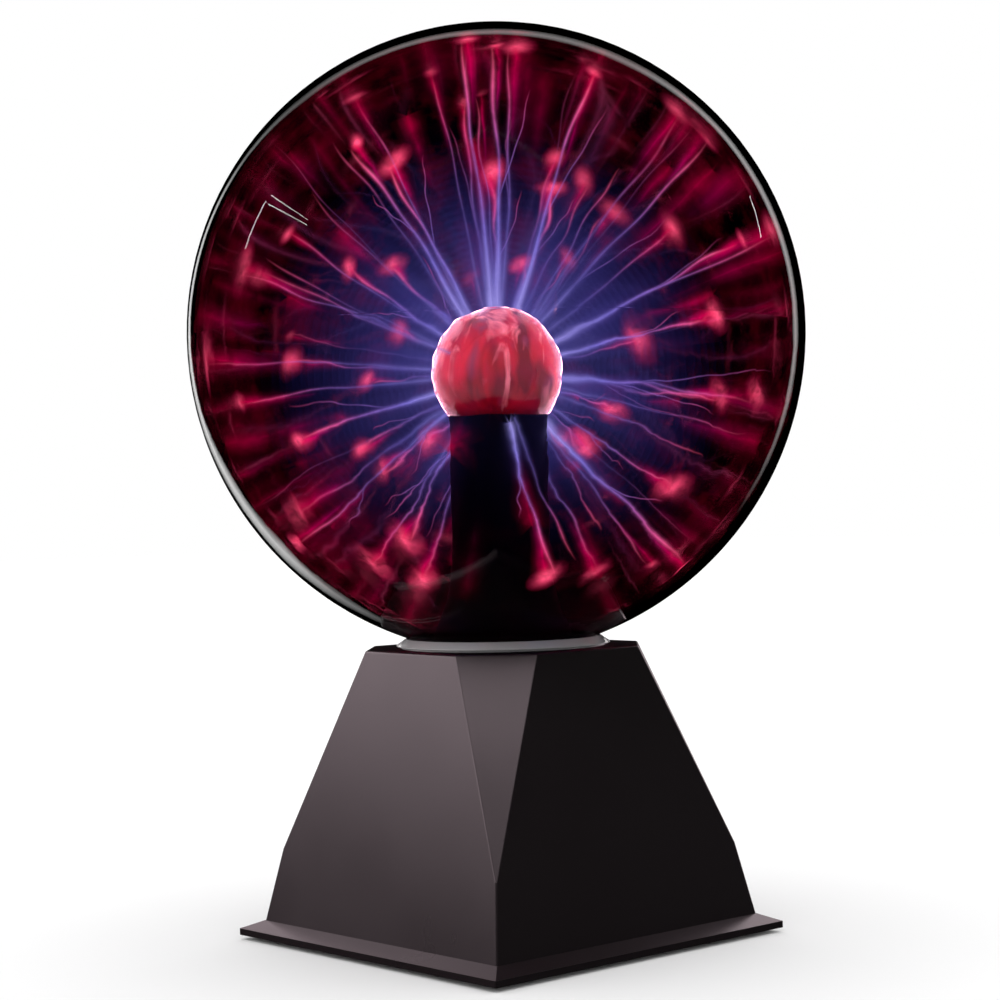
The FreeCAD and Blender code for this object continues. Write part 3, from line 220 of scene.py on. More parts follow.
def circuit_board():
    """Green mask with paler copper tracks that show through it."""
    mat, tree, shader = material("board_green", Roughness=0.35, IOR=1.5)
    inputs = {
        "Vector": place_coords(tree),
        "Scale": 130.0,
        "Mortar Size": 0.06,
        "Brick Width": 0.9,
        "Row Height": 0.35,
    }
    tracks = add(tree, "ShaderNodeTexBrick", inputs).outputs["Fac"]
    colour = blended(tree, tracks, (0.012, 0.11, 0.04), (0.06, 0.26, 0.07))
    tree.links.new(colour, shader.inputs["Base Color"])
    bumped(tree, shader, tracks, 0.00004)
    return mat


def ring_banded(name, colour, second, width):
    """Lacquer with painted rings round an axis along X."""
    mat, tree, shader = material(name, Roughness=0.3)
    across = add(tree, "ShaderNodeSeparateXYZ", {"Vector": place_coords(tree)}).outputs["X"]
    step = maths(tree, "FRACT", maths(tree, "DIVIDE", across, width))
    ring = mapped(tree, step, 0.62, 0.66, 0.0, 1.0)
    tree.links.new(blended(tree, ring, colour, second), shader.inputs["Base Color"])
    return mat


def dress_nodes():
    """Gives every CAD node its procedural material."""
    black = (0.012, 0.012, 0.013)
    glass = clear_glass()
    plastic = grained("moulded_black", black, (0.02, 0.02, 0.021), 0.42, 0.06, 1800.0, 0.00004)
    rubber = grained(
        "rubber_black", (0.018, 0.018, 0.018), (0.03, 0.03, 0.03), 0.72, 0.08, 900.0, 0.00008
    )
    collar = grained("collar_grey", (0.26, 0.257, 0.26), (0.29, 0.286, 0.29), 0.22, 0.03, 700.0, 0.00001)
    sleeve = grained(
        "sleeve_black", (0.003, 0.003, 0.004), (0.005, 0.005, 0.006), 0.6, 0.06, 1500.0, 0.00003
    )
    steel = metal("zinc_steel", (0.55, 0.55, 0.57), (0.45, 0.45, 0.46), 0.3, 0.06, 2500.0, 0.00001)
    dark_steel = grained(
        "black_oxide", (0.05, 0.05, 0.052), (0.08, 0.08, 0.08), 0.35, 0.06, 2500.0, 0.00001, Metallic=0.9
    )
    brass = metal("drawn_brass", (0.72, 0.5, 0.2), (0.55, 0.36, 0.13), 0.25, 0.06, 2500.0, 0.00001)
    alloy = metal("extruded_alloy", (0.75, 0.76, 0.78), (0.62, 0.63, 0.65), 0.34, 0.07, 2500.0, 0.00002)
    ferrite = grained("ferrite", (0.05, 0.05, 0.055), (0.03, 0.03, 0.032), 0.6, 0.1, 1200.0, 0.00006)
    epoxy = grained("moulded_epoxy", (0.02, 0.02, 0.021), (0.03, 0.03, 0.03), 0.5, 0.08, 2400.0, 0.00003)
    potting = grained(
        "potting_resin", (0.012, 0.012, 0.013), (0.02, 0.02, 0.02), 0.16, 0.05, 300.0, 0.00004
    )
    silicone = grained("silicone_bead", (0.07, 0.07, 0.07), (0.05, 0.05, 0.05), 0.4, 0.1, 400.0, 0.0001)
    lead = grained("lead_red", (0.42, 0.02, 0.015), (0.34, 0.015, 0.012), 0.38, 0.05, 1200.0, 0.00002)
    wool = metal("steel_wool", (0.3, 0.3, 0.31), (0.12, 0.12, 0.12), 0.45, 0.15, 3500.0, 0.0004)
    can_blue = grained("can_sleeve", (0.02, 0.04, 0.2), (0.015, 0.03, 0.15), 0.3, 0.05, 900.0, 0.00002)
    film = grained("film_yellow", (0.65, 0.42, 0.05), (0.55, 0.35, 0.04), 0.35, 0.06, 900.0, 0.00003)
    laminate = grained("phenolic", (0.3, 0.13, 0.05), (0.2, 0.09, 0.035), 0.5, 0.08, 1200.0, 0.00004)
    pad_grey = grained("pad_grey", (0.32, 0.32, 0.34), (0.26, 0.26, 0.28), 0.7, 0.06, 1500.0, 0.00003)
    dressed = {
        glass: ["globe_glass", "exhaust_tip"],
        bulb_glass(): ["electrode_glass"],
        housing_plastic(): ["base_housing"],
        sleeve: ["stem_shroud"],
        collar: ["neck_collar"],
        rubber: ["globe_seat_gasket", "microphone_grommet", "rubber_foot_front_left",
                 "rubber_foot_front_right", "rubber_foot_rear_left", "rubber_foot_rear_right"],
        silicone: ["neck_silicone"],
        plastic: ["bottom_cover", "neck_lock_ring", "flyback_base", "switch_knob", "dc_jack_body"],
        steel: [
            "cover_screws",
            "board_screws",
            "heatsink_screw",
            "dc_jack_nut",
            "switch_frame",
            "core_clip",
        ],
        dark_steel: ["switch_screws"],
        brass: ["hv_rod", "dc_jack_pin", "dc_jack_lugs", "switch_terminals", "switch_contact_clip"],
        alloy: ["heatsink", "microphone"],
        ferrite: ["flyback_core"],
        epoxy: ["power_transistor", "driver_chip", "audio_chip"],
        potting: ["flyback_secondary"],
        lead: ["hv_boot", "hv_lead", "switch_leads", "dc_leads", "microphone_leads"],
        wool: ["electrode_wool"],
        can_blue: ["filter_capacitor", "coupling_capacitors"],
        film: ["film_capacitor"],
        laminate: ["switch_terminal_board"],
        pad_grey: ["transistor_pad"],
        circuit_board(): ["circuit_board"],
        wound_wire("copper_turns", (0.6, 0.22, 0.07), 0.0004): ["flyback_primary"],
        wound_wire("choke_turns", (0.62, 0.3, 0.1), 0.0006): ["toroid_inductor"],
        ring_banded("resistor_bands", (0.6, 0.42, 0.25), (0.25, 0.05, 0.02), 0.0016): ["resistors"],
        ring_banded("diode_band", (0.02, 0.02, 0.02), (0.6, 0.6, 0.6), 0.0052): ["rectifier_diode"],
    }
    left_over = set(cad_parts) - {name for names in dressed.values() for name in names}
    if left_over:
        raise RuntimeError(f"no material for {sorted(left_over)}")
    for mat, names in dressed.items():
        for name in names:
            for slot in bpy.data.objects[name].material_slots:
                slot.material = mat


# ---- plasma -----------------------------------------------------------------------------

ACROSS = ((-1.0, 0.0), (-0.62, 0.1), (-0.3, 0.5), (0.0, 1.0), (0.3, 0.5), (0.62, 0.1), (1.0, 0.0))
OUTWARDS = ((0.25, 0.8), (0.5, 0.42), (0.75, 0.13), (1.0, 0.0))


class Glow:
    """Soft-edged light gathered into one mesh: a colour and a clearness at each point."""

    def __init__(self):
        self.points = []
        self.faces = []
        self.light = []

    def strip(self, line, side, widths, colours, clears):
        """One flat strip along a line of points, bright in its middle and clear at its edges."""
        first = len(self.points)
        for point, width, colour, clear in zip(line, widths, colours, clears):
            for reach, share in ACROSS:
                self.points.append(point + side * (width * reach))
                self.light.append((*colour, clear * share))
        self.weave(first, len(line), len(ACROSS))

    def weave(self, first, rows, span):
        """The faces between rows of points, where each row holds span of them."""
        for row in range(rows - 1):
            for column in range(span - 1):
                corner = first + row * span + column
                self.faces.append((corner, corner + 1, corner + span + 1, corner + span))

    def crossed(self, line, widths, colours, clears, count, turn):
        """Strips that cross along one line, so that it looks as thick from every side."""
        ahead = (line[-1] - line[0]).normalized()
        first = ahead.orthogonal().normalized()
        second = ahead.cross(first)
        for index in range(count):
            angle = turn + math.pi * index / count
            side = first * math.cos(angle) + second * math.sin(angle)
            self.strip(line, side, widths, colours, clears)

    def patch(self, middle, along, across, inner, outer, clear):
        """A soft round patch, with its half axes given as vectors."""
        count = 14
        first = len(self.points)
        self.points.append(middle)
        self.light.append((*inner, clear))
        for reach, share in OUTWARDS:
            colour = ramp(reach, ((0.0, inner), (1.0, outer)))
            for index in range(count):
                angle = 2 * math.pi * index / count
                self.points.append(middle + (along * math.cos(angle) + across * math.sin(angle)) * reach)
                self.light.append((*colour, clear * share))
        for index in range(count):
            after = (index + 1) % count
            self.faces.append((first, first + 1 + index, first + 1 + after))
            for ring in range(len(OUTWARDS) - 1):
                near = first + 1 + ring * count
                self.faces.append(
                    (near + index, near + count + index, near + count + after, near + after)
                )

    def shell(self, centre, radius, light_at):
        """A sphere, with the colour and clearness that light_at gives for each direction."""
        ball = bmesh.new()
        bmesh.ops.create_icosphere(ball, subdivisions=5, radius=1.0)
        first = len(self.points)
        for vertex in ball.verts:
            self.points.append(centre + vertex.co * radius)
            self.light.append(light_at(vertex.co))
        self.faces.extend(tuple(first + vertex.index for vertex in face.verts) for face in ball.faces)
        ball.free()

    def mesh(self, name, mat):
        """The gathered points and faces as a mesh, with the light as a colour attribute."""
        mesh = bpy.data.meshes.new(name)
        mesh.from_pydata(self.points, [], self.faces)
        layer = mesh.attributes.new("light", "FLOAT_COLOR", "POINT")
        layer.data.foreach_set("color", [part for row in self.light for part in row])
        mesh.materials.append(mat)
        return mesh

    def made(self, name, mat):
        """The gathered light as one object that rides on the base and casts no shadow."""
        mesh = self.mesh(name, mat)
        mesh.polygons.foreach_set("use_smooth", [True] * len(mesh.polygons))
        piece = bpy.data.objects.new(name, mesh)
        SCENE.collection.objects.link(piece)
        piece.visible_shadow = False
        piece.visible_diffuse = False
        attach(piece, "base")


def light_of_mesh(tree):
    """The colour attribute that a Glow mesh carries."""
    return add(tree, "ShaderNodeAttribute", attribute_type="GEOMETRY", attribute_name="light")


def glow_material(name, strength, broken):
    """Light from the mesh's own colours. broken(tree) gives a factor that breaks up its clearness."""
    mat, tree, shader = material(name, Base_Color=(0.0, 0.0, 0.0), Roughness=1.0, Specular_IOR_Level=0.0)
    light = light_of_mesh(tree)
    tree.links.new(light.outputs["Color"], shader.inputs["Emission Color"])
    tree.links.new(maths(tree, "MULTIPLY", light.outputs["Alpha"], broken(tree)), shader.inputs["Alpha"])
    shader.inputs["Emission Strength"].default_value = strength
    mat.cycles.emission_sampling = "NONE"
    return mat


def wisps(tree):
    return mapped(tree, noise(tree, 150.0, 3.0, 0.6), 0.3, 0.7, 0.5, 1.1)


def cloudy(tree):
    return mapped(tree, noise(tree, 75.0, 4.0, 0.6), 0.34, 0.62, 0.15, 1.2)


def rays(tree):
    """Beams that fan out from the bulb: noise that depends on direction only."""
    ends = {0: place_coords(tree), 1: BULB_CENTRE}
    offset = add(tree, "ShaderNodeVectorMath", ends, operation="SUBTRACT").outputs[0]
    way = add(tree, "ShaderNodeVectorMath", {0: offset}, operation="NORMALIZE").outputs[0]
    return mapped(tree, noise(tree, 5.0, 5.0, 0.62, way), 0.40, 0.62, 0.05, 1.4)


def wall_reach(direction):
    """How far the globe's inner face is from the bulb's centre in a direction."""
    offset = BULB_CENTRE - GLOBE_CENTRE
    along = offset.dot(direction)
    radius = INSIDE_RADIUS - 0.6 * MM
    return -along + math.sqrt(along * along - offset.dot(offset) + radius * radius)


def held_inside(point):
    """A point moved in if it's past the glass's inner face."""
    offset = point - GLOBE_CENTRE
    return GLOBE_CENTRE + offset * min(1.0, (INSIDE_RADIUS - 0.6 * MM) / offset.length)


def direction_at(azimuth, elevation):
    """A unit vector; azimuth 0 points to the camera's right and 90 away from it, in degrees."""
    turn = math.radians(azimuth + VIEW_AZIMUTH)
    lift = math.radians(elevation)
    return Vector((math.cos(turn) * math.cos(lift), math.sin(turn) * math.cos(lift), math.sin(lift)))


def even_directions(count, lowest):
    """Directions spread evenly over a sphere, down to a lowest elevation in degrees."""
    floor = math.sin(math.radians(lowest))
    golden = math.pi * (3.0 - math.sqrt(5.0))
    for index in range(count):
        height = 1.0 - (index + 0.5) / count * (1.0 - floor)
        flat = math.sqrt(1.0 - height * height)
        yield Vector((math.cos(golden * index) * flat, math.sin(golden * index) * flat, height))


def jittered(chance, direction, size):
    """A direction turned a little by chance."""
    return (direction + Vector([chance.uniform(-size, size) for _ in range(3)])).normalized()


def ramp(t, stops):
    """A colour or number between stops given as (place, value)."""
    for (low, before), (high, after) in zip(stops, stops[1:]):
        if t <= high:
            share = (t - low) / (high - low)
            if isinstance(before, tuple):
                return tuple(a + (b - a) * share for a, b in zip(before, after))
            return before + (after - before) * share
    return stops[-1][1]


def profile(stops, rows, scale=1.0):
    return [ramp(row / (rows - 1), stops) * scale for row in range(rows)]


def shades(stops, rows):
    return [ramp(row / (rows - 1), stops) for row in range(rows)]


def wandering(chance, start, end, amount, rows):
    """A line between two points that wanders more as it goes."""
    ahead = (end - start).normalized()
    first = ahead.orthogonal().normalized()
    second = ahead.cross(first)
    waves = [(chance.uniform(0, 2 * math.pi), chance.uniform(0.4, 1.0)) for _ in range(4)]
    turns = (3.4, 14.0, 3.9, 17.0)
    line = []
    for row in range(rows):
        t = row / (rows - 1)
        swing = amount * math.sin(math.pi * min(1.0, t * 1.15) * 0.5) * t ** 0.5
        slow_a, quick_a, slow_b, quick_b = (
            height * math.sin(turn * t + start_angle) for turn, (start_angle, height) in zip(turns, waves)
        )
        aside = first * (slow_a + 0.35 * quick_a) + second * (slow_b + 0.35 * quick_b)
        line.append(held_inside(start.lerp(end, t) + aside * swing))
    return line


# Each streamer that stands out: (azimuth, elevation, brightness, size of its foot in mm).
STREAMERS = (
    (-167, 86, 1.0, 4.5),
    (71, 86, 1.0, 3.0),
    (46, 83, 0.7, 6.0),
    (102, 64, 0.7, 3.0),
    (94, 67, 0.5, 2.0),
    (90, 46, 1.3, 5.0),
    (129, 73, 0.45, 3.0),
    (136, 52, 1.2, 3.0),
    (120, 48, 1.0, 5.0),
    (155, 62, 0.45, 4.0),
    (146, 52, 0.4, 0.0),
    (142, 40, 0.3, 0.0),
    (125, 25, 0.9, 3.5),
    (114, 26, 0.9, 4.0),
    (145, 31, 0.5, 3.0),
    (151, 25, 0.35, 0.0),
    (158, 23, 0.6, 6.0),
    (-136, 15, 0.5, 4.0),
    (139, 5, 0.5, 5.0),
    (173, 4, 0.5, 8.0),
    (159, -4, 0.6, 4.0),
    (140, -12, 1.0, 4.5),
    (119, -19, 0.9, 4.0),
    (123, -14, 0.7, 4.0),
    (106, -12, 0.8, 5.0),
    (153, -30, 0.6, 7.0),
    (168, -38, 0.7, 4.5),
    (136, -45, 0.7, 6.5),
    (119, -38, 0.9, 6.0),
    (121, -52, 0.7, 6.0),
    (-77, -47, 0.9, 4.5),
    (-71, -44, 0.5, 0.0),
    (54, -51, 0.6, 4.5),
    (58, -37, 0.5, 0.0),
    (-7, -48, 1.5, 4.0),
    (29, -48, 0.5, 3.0),
    (43, -25, 0.7, 6.0),
    (36, -17, 0.5, 0.0),
    (21, -13, 0.4, 0.0),
    (35, -4, 0.9, 5.0),
    (21, -5, 0.7, 6.0),
    (41, -3, 0.7, 0.0),
    (37, 13, 0.9, 5.0),
    (21, 26, 0.8, 3.0),
    (2, 26, 0.6, 7.0),
    (44, 31, 0.5, 5.0),
    (7, 47, 0.7, 5.0),
    (10, 54, 0.5, 6.0),
    (26, 69, 0.9, 3.5),
    (51, 46, 0.5, 0.0),
    (74, 42, 1.1, 4.0),
    (71, 49, 0.6, 4.0),
    (65, 43, 0.45, 4.5),
    (59, 36, 0.4, 5.0),
    (84, 26, 1.2, 3.5),
    (73, 27, 0.4, 3.5),
    (58, 9, 0.6, 6.0),
    (64, -6, 0.8, 4.5),
    (70, -14, 0.7, 5.5),
    (75, -13, 0.6, 4.0),
    (112, 12, 0.5, 4.0),
    (119, 2, 0.6, 3.5),
)

# A quiet sector, low on one side of the bulb, where there are only a few faint streamers.
QUIET = direction_at(-90, -16)

# How a streamer's line, beam, side line and plume change from the bulb (0) to the glass (1):
# colours, half widths in mm, and clearnesses.
CORE_COLOURS = (
    (0.0, (0.50, 0.44, 1.0)),
    (0.3, (0.27, 0.22, 0.85)),
    (0.55, (0.34, 0.15, 0.62)),
    (0.78, (0.85, 0.10, 0.34)),
    (1.0, (1.0, 0.10, 0.18)),
)
CORE_WIDTHS = ((0.0, 2.6), (0.2, 1.9), (0.6, 1.2), (0.85, 1.5), (1.0, 1.0))
CORE_CLEARS = ((0.0, 0.6), (0.2, 0.46), (0.6, 0.26), (0.85, 0.56), (1.0, 0.0))
FAINT_CLEARS = ((0.0, 0.08), (0.3, 0.14), (0.55, 0.24), (0.85, 0.4), (1.0, 0.0))
BEAM_COLOURS = ((0.0, (0.24, 0.21, 0.80)), (0.5, (0.14, 0.09, 0.52)), (1.0, (0.22, 0.02, 0.2)))
BEAM_WIDTHS = ((0.0, 3.0), (0.4, 4.6), (1.0, 6.0))
BEAM_CLEARS = ((0.0, 0.5), (0.3, 0.34), (0.7, 0.13), (1.0, 0.0))
SIDE_COLOURS = ((0.0, (0.25, 0.18, 0.8)), (0.5, (0.4, 0.14, 0.55)), (1.0, (0.9, 0.08, 0.25)))
SIDE_CLEARS = ((0.0, 0.0), (0.15, 0.3), (0.8, 0.26), (1.0, 0.0))
PLUME_COLOURS = ((0.0, (0.25, 0.0, 0.12)), (1.0, (0.62, 0.0, 0.05)))
PLUME_WIDTHS = ((0.0, 2.0), (0.5, 3.8), (1.0, 6.0))
PLUME_CLEARS = ((0.0, 0.0), (0.3, 0.14), (0.75, 0.4), (0.92, 0.36), (1.0, 0.16))
FOOT_COLOURS = ((1.0, 0.09, 0.2), (0.5, 0.0, 0.06))

LINE_ROWS = 28
SIDE_ROWS = 16
PLUME_ROWS = 9
STRONG = 0.8
WITH_SIDE_LINE = 0.65


def add_streamer(lines, beams, feet, chance, direction, power, foot):
    """A thin bright line from the bulb to the glass, its violet beam, side lines and red foot."""
    rows = LINE_ROWS
    root = BULB_CENTRE + direction * (BULB_RADIUS - MM)
    end = BULB_CENTRE + direction * wall_reach(direction)
    line = wandering(chance, root, end, 2.6 * MM, rows)
    widths = profile(CORE_WIDTHS, rows, MM * (0.55 + 0.55 * power))
    clears = profile(CORE_CLEARS if power >= STRONG else FAINT_CLEARS, rows, min(1.0, power))
    lines.crossed(line, widths, shades(CORE_COLOURS, rows), clears, 3, chance.uniform(0, math.pi))
    reach = chance.uniform(0.45, 0.7)
    beam = [line[round(row / (rows - 1) * reach * (rows - 1))] for row in range(0, rows, 3)]
    count = len(beam)
    beams.crossed(
        beam,
        profile(BEAM_WIDTHS, count, MM * (0.5 + 0.5 * power)),
        shades(BEAM_COLOURS, count),
        profile(BEAM_CLEARS, count, min(1.0, power)),
        3,
        chance.uniform(0, math.pi),
    )
    if power > WITH_SIDE_LINE:
        add_side_line(lines, chance, line, power)
    if foot:
        add_foot(feet, chance, end, foot, power)


def add_side_line(lines, chance, line, power):
    """A thin line that leaves a streamer part of the way out and goes to the glass beside it."""
    rows = SIDE_ROWS
    start = line[chance.randrange(6, 16)]
    way = jittered(chance, (start - BULB_CENTRE).normalized(), 0.16)
    end = BULB_CENTRE + way * (wall_reach(way) * chance.uniform(0.75, 1.0))
    side = wandering(chance, start, end, 2.0 * MM, rows)
    colours = shades(SIDE_COLOURS, rows)
    clears = profile(SIDE_CLEARS, rows, min(1.0, power))
    lines.crossed(side, [0.65 * MM] * rows, colours, clears, 2, chance.uniform(0, math.pi))


def add_plume(glow, line, scale, power, turn):
    """A soft red streak along a line, which widens towards the glass."""
    rows = len(line)
    widths = profile(PLUME_WIDTHS, rows, scale)
    clears = profile(PLUME_CLEARS, rows, power)
    glow.crossed(line, widths, shades(PLUME_COLOURS, rows), clears, 3, turn)


def add_foot(glow, chance, end, size, power):
    """The red glow where a streamer meets the glass: a plume and a brighter patch on the wall."""
    outward = (end - GLOBE_CENTRE).normalized()
    first = jittered(chance, outward.orthogonal().normalized(), 0.8)
    first = (first - outward * first.dot(outward)).normalized()
    second = outward.cross(first)
    middle = end - outward * 0.3 * MM
    reach = size * MM
    power = min(1.0, power)
    glow.patch(middle, first * reach * 2.0, second * reach * 1.2, *FOOT_COLOURS, power)
    inner = BULB_CENTRE.lerp(end, chance.uniform(0.66, 0.8))
    line = wandering(chance, inner, end, MM, PLUME_ROWS)
    add_plume(glow, line, MM * size / 5.0, power, chance.uniform(0, math.pi))


def make_streamers(chance):
    lines = Glow()
    beams = Glow()
    feet = Glow()
    for azimuth, elevation, power, foot in STREAMERS:
        add_streamer(lines, beams, feet, chance, direction_at(azimuth, elevation), power, foot)
    for way in even_directions(12, -52.0):
        direction = jittered(chance, way, 0.16)
        if direction.dot(QUIET) < 0.62:
            power = chance.uniform(0.08, 0.26)
            add_streamer(lines, beams, feet, chance, direction, power, chance.uniform(2.5, 5.0))
    lines.made("plasma_lines", glow_material("plasma_line_light", 1.2, wisps))
    beams.made("plasma_beams", glow_material("plasma_beam_light", 0.6, wisps))
    feet.made("plasma_feet", glow_material("plasma_foot_light", 1.7, cloudy))


def make_plumes(chance):
    """The dull red streaks near the glass, between the streamers."""
    plumes = Glow()
    for way in even_directions(90, -56.0):
        direction = jittered(chance, way, 0.1)
        end = BULB_CENTRE + direction * wall_reach(direction)
        inner = BULB_CENTRE.lerp(end, chance.uniform(0.55, 0.82))
        power = chance.uniform(0.1, 1.0) ** 3.0
        line = wandering(chance, inner, end, MM, PLUME_ROWS)
        scale = MM * chance.uniform(0.7, 2.2)
        add_plume(plumes, line, scale, power, chance.uniform(0, math.pi))
    plumes.made("plasma_plumes", glow_material("plasma_plume_light", 0.85, cloudy))


def calm(way):
    """How strong the haze and film are in a direction: weak towards the quiet sector."""
    return ramp(max(0.0, way.dot(QUIET)), ((0.0, 1.0), (0.4, 0.75), (0.8, 0.1), (1.0, 0.03)))


def make_haze():
    """The blue haze round the bulb, in nested shells that line up into beams."""
    haze = Glow()
    count = 24

    def light_at(way):
        low = ramp(way.z, ((-1.0, 0.0), (-0.85, 0.1), (-0.5, 1.0), (1.0, 1.0)))
        return (*colour, clear * calm(way) * low)

    for index in range(count):
        t = index / count
        colour = ramp(t, ((0.0, (0.14, 0.13, 0.56)), (1.0, (0.06, 0.04, 0.40))))
        clear = 0.036 * (1.0 - t) ** 0.85
        haze.shell(BULB_CENTRE, 0.0242 + 0.056 * t ** 1.1, light_at)
    haze.made("plasma_haze", glow_material("plasma_haze_light", 1.0, rays))


def make_wall_glow():
    """The dull red film of light on the inside of the glass."""
    film = Glow()

    def light_at(way):
        low = ramp(way.z, ((-1.0, 0.0), (-0.86, 0.0), (-0.6, 1.0), (1.0, 1.0)))
        return (0.40, 0.0, 0.03, 0.17 * low * calm(way))

    film.shell(GLOBE_CENTRE, INSIDE_RADIUS - 0.4 * MM, light_at)
    film.made("plasma_wall_glow", glow_material("plasma_wall_light", 0.6, film_patches))


def film_patches(tree):
    return mapped(tree, noise(tree, 40.0, 5.0, 0.62), 0.52, 0.70, 0.0, 1.0)


def make_bulb_skin():
    """The smooth coated surface of the bulb, a hair outside the CAD bulb, down into the sleeve."""
    rows = 48
    columns = 128
    radius = BULB_RADIUS + 0.05 * MM
    lowest = math.degrees(math.asin((SLEEVE_TOP - MM - BULB_CENTRE.z) / radius))
    mesh = bmesh.new()
    top = mesh.verts.new(BULB_CENTRE + Vector((0, 0, radius)))
    rings = []
    for row in range(1, rows):
        elevation = 90.0 + (lowest - 90.0) * row / (rows - 1)
        ring = [direction_at(360.0 * column / columns, elevation) for column in range(columns)]
        rings.append([mesh.verts.new(BULB_CENTRE + way * radius) for way in ring])
    for column in range(columns):
        beside = (column + 1) % columns
        mesh.faces.new((top, rings[0][column], rings[0][beside]))
        for upper, lower in zip(rings, rings[1:]):
            mesh.faces.new((upper[column], lower[column], lower[beside], upper[beside]))
    for face in mesh.faces:
        face.smooth = True
    data = bpy.data.meshes.new("electrode_skin")
    mesh.to_mesh(data)
    mesh.free()
    data.materials.append(bpy.data.objects["electrode_glass"].material_slots[0].material)
    skin = bpy.data.objects.new("electrode_skin", data)
    SCENE.collection.objects.link(skin)
    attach(skin, "base")


def make_plasma():
    chance = random.Random(7)
    make_haze()
    make_wall_glow()
    make_plumes(chance)
    make_streamers(chance)


# ---- stage, camera and lights -----------------------------------------------------------


def stage_piece(name, mesh):
    """A thing of the studio: seen by the camera or by gloss, and never through the glass."""
    piece = bpy.data.objects.new(name, mesh)
    SCENE.collection.objects.link(piece)
    piece.visible_transmission = False
    piece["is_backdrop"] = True
    return piece


def make_floor():
    """A plain pale floor that the glass and the gloss don't mirror."""
    mesh = bpy.data.meshes.new("floor")
    size = 6.0
    corners = [(-size, -size, 0), (size, -size, 0), (size, size, 0), (-size, size, 0)]
    mesh.from_pydata(corners, [], [(0, 1, 2, 3)])
    mat, _, _ = material("floor_pale", Base_Color=(0.9, 0.9, 0.9), Roughness=0.9, Specular_IOR_Level=0.0)
    mesh.materials.append(mat)
    floor = stage_piece("floor", mesh)
    floor.visible_glossy = False


def make_world():
    """White behind the object, soft light on matt surfaces, and dark in mirrors and through glass."""
    world = bpy.data.worlds.new("studio")
    SCENE.world = world
    world.use_nodes = True
    tree = world.node_tree
    path = add(tree, "ShaderNodeLightPath")
    soft = maths(tree, "MULTIPLY", path.outputs["Is Diffuse Ray"], 1.3)
    strength = maths(tree, "ADD", path.outputs["Is Camera Ray"], soft)
    background = tree.nodes["Background"]
    background.inputs["Color"].default_value = (1.0, 1.0, 1.0, 1.0)
    tree.links.new(strength, background.inputs["Strength"])


def camera_axes():
    """Unit vectors to the camera's right, up and away from it."""
    turn = math.radians(VIEW_AZIMUTH)
    away = Vector((-math.sin(turn), math.cos(turn), 0))
    return away.cross(Vector((0, 0, 1))), Vector((0, 0, 1)), away


def make_camera():
    data = bpy.data.cameras.new("camera")
    data.lens = VIEW_LENS
    data.sensor_width = 36.0
    camera = bpy.data.objects.new("camera", data)
    SCENE.collection.objects.link(camera)
    _, up, away = camera_axes()
    pitch = math.radians(VIEW_PITCH)
    look = away * math.cos(pitch) + up * math.sin(pitch)
    roll = Quaternion((0, 0, 1), math.radians(VIEW_ROLL))
    camera.rotation_mode = "QUATERNION"
    camera.rotation_quaternion = look.to_track_quat("-Z", "Y") @ roll
    camera.location = away * -VIEW_DISTANCE + up * VIEW_HEIGHT
    SCENE.camera = camera


LIGHT_DISTANCE = 1.6
ROSY = (1.0, 0.80, 0.87)
NEARLY_WHITE = (1.0, 0.97, 0.98)
GAS_PINK = (1.0, 0.44, 0.60)

# The studio's soft boxes for the base: (name, direction from the object, width and height in
# metres, radiance).
BASE_LIGHTS = (
    ("left_wall", (-0.544, 0.650, 0.530), (1.3, 1.42), 3.8),
    ("high_front", (-0.43, -0.37, 0.823), (0.9, 0.5), 8.6),
    ("between", (-0.83, 0.15, 0.53), (0.8, 0.6), 5.0),
    ("high_back", (0.10, 0.80, 0.59), (0.8, 0.5), 2.3),
    ("right_wall", (0.93, 0.12, 0.35), (1.1, 1.2), 2.6),
)
COLLAR_LIGHTS = (
    ("collar_back", (0.45, 0.62, 0.62), (1.4, 1.4), 9.0),
    ("collar_left", (-0.9, 0.3, 0.4), (0.8, 0.8), 9.0),
)


def softbox(name, way, size, radiance, aim, distance, only, colour):
    """A rectangular light in a direction from its aim, which shines on some objects only."""
    data = bpy.data.lights.new(name, "AREA")
    data.shape = "RECTANGLE"
    data.size, data.size_y = size
    data.energy = radiance * math.pi * size[0] * size[1]
    data.color = colour
    light = bpy.data.objects.new(name, data)
    SCENE.collection.objects.link(light)
    way = Vector(way).normalized()
    light.location = aim + way * distance
    light.rotation_mode = "QUATERNION"
    light.rotation_quaternion = way.to_track_quat("Z", "Y")
    light.visible_camera = False
    light.visible_transmission = False
    light.light_linking.receiver_collection = only


def light_bulb_outline(bulb):
    """Five squares of pink light that box in the bulb, which mirrors them towards its outline."""
    side = 0.1
    for index, way in enumerate(((1, 0, 0), (-1, 0, 0), (0, 1, 0), (0, -1, 0), (0, 0, 1))):
        softbox(f"bulb_box_{index}", way, (side, side), 22.0, BULB_CENTRE, side / 2, bulb, GAS_PINK)


def linked_group(name, members):
    """A collection of the objects that one light shines on."""
    group = bpy.data.collections.new(name)
    for member in members:
        group.objects.link(bpy.data.objects[member])
    return group


def around_axis(off_axis, polar):
    """A direction off_axis degrees from straight away, turned by polar from the camera's right."""
    right, up, away = camera_axes()
    tilt = math.radians(off_axis)
    turn = math.radians(polar)
    return away * math.cos(tilt) + (right * math.cos(turn) + up * math.sin(turn)) * math.sin(tilt)


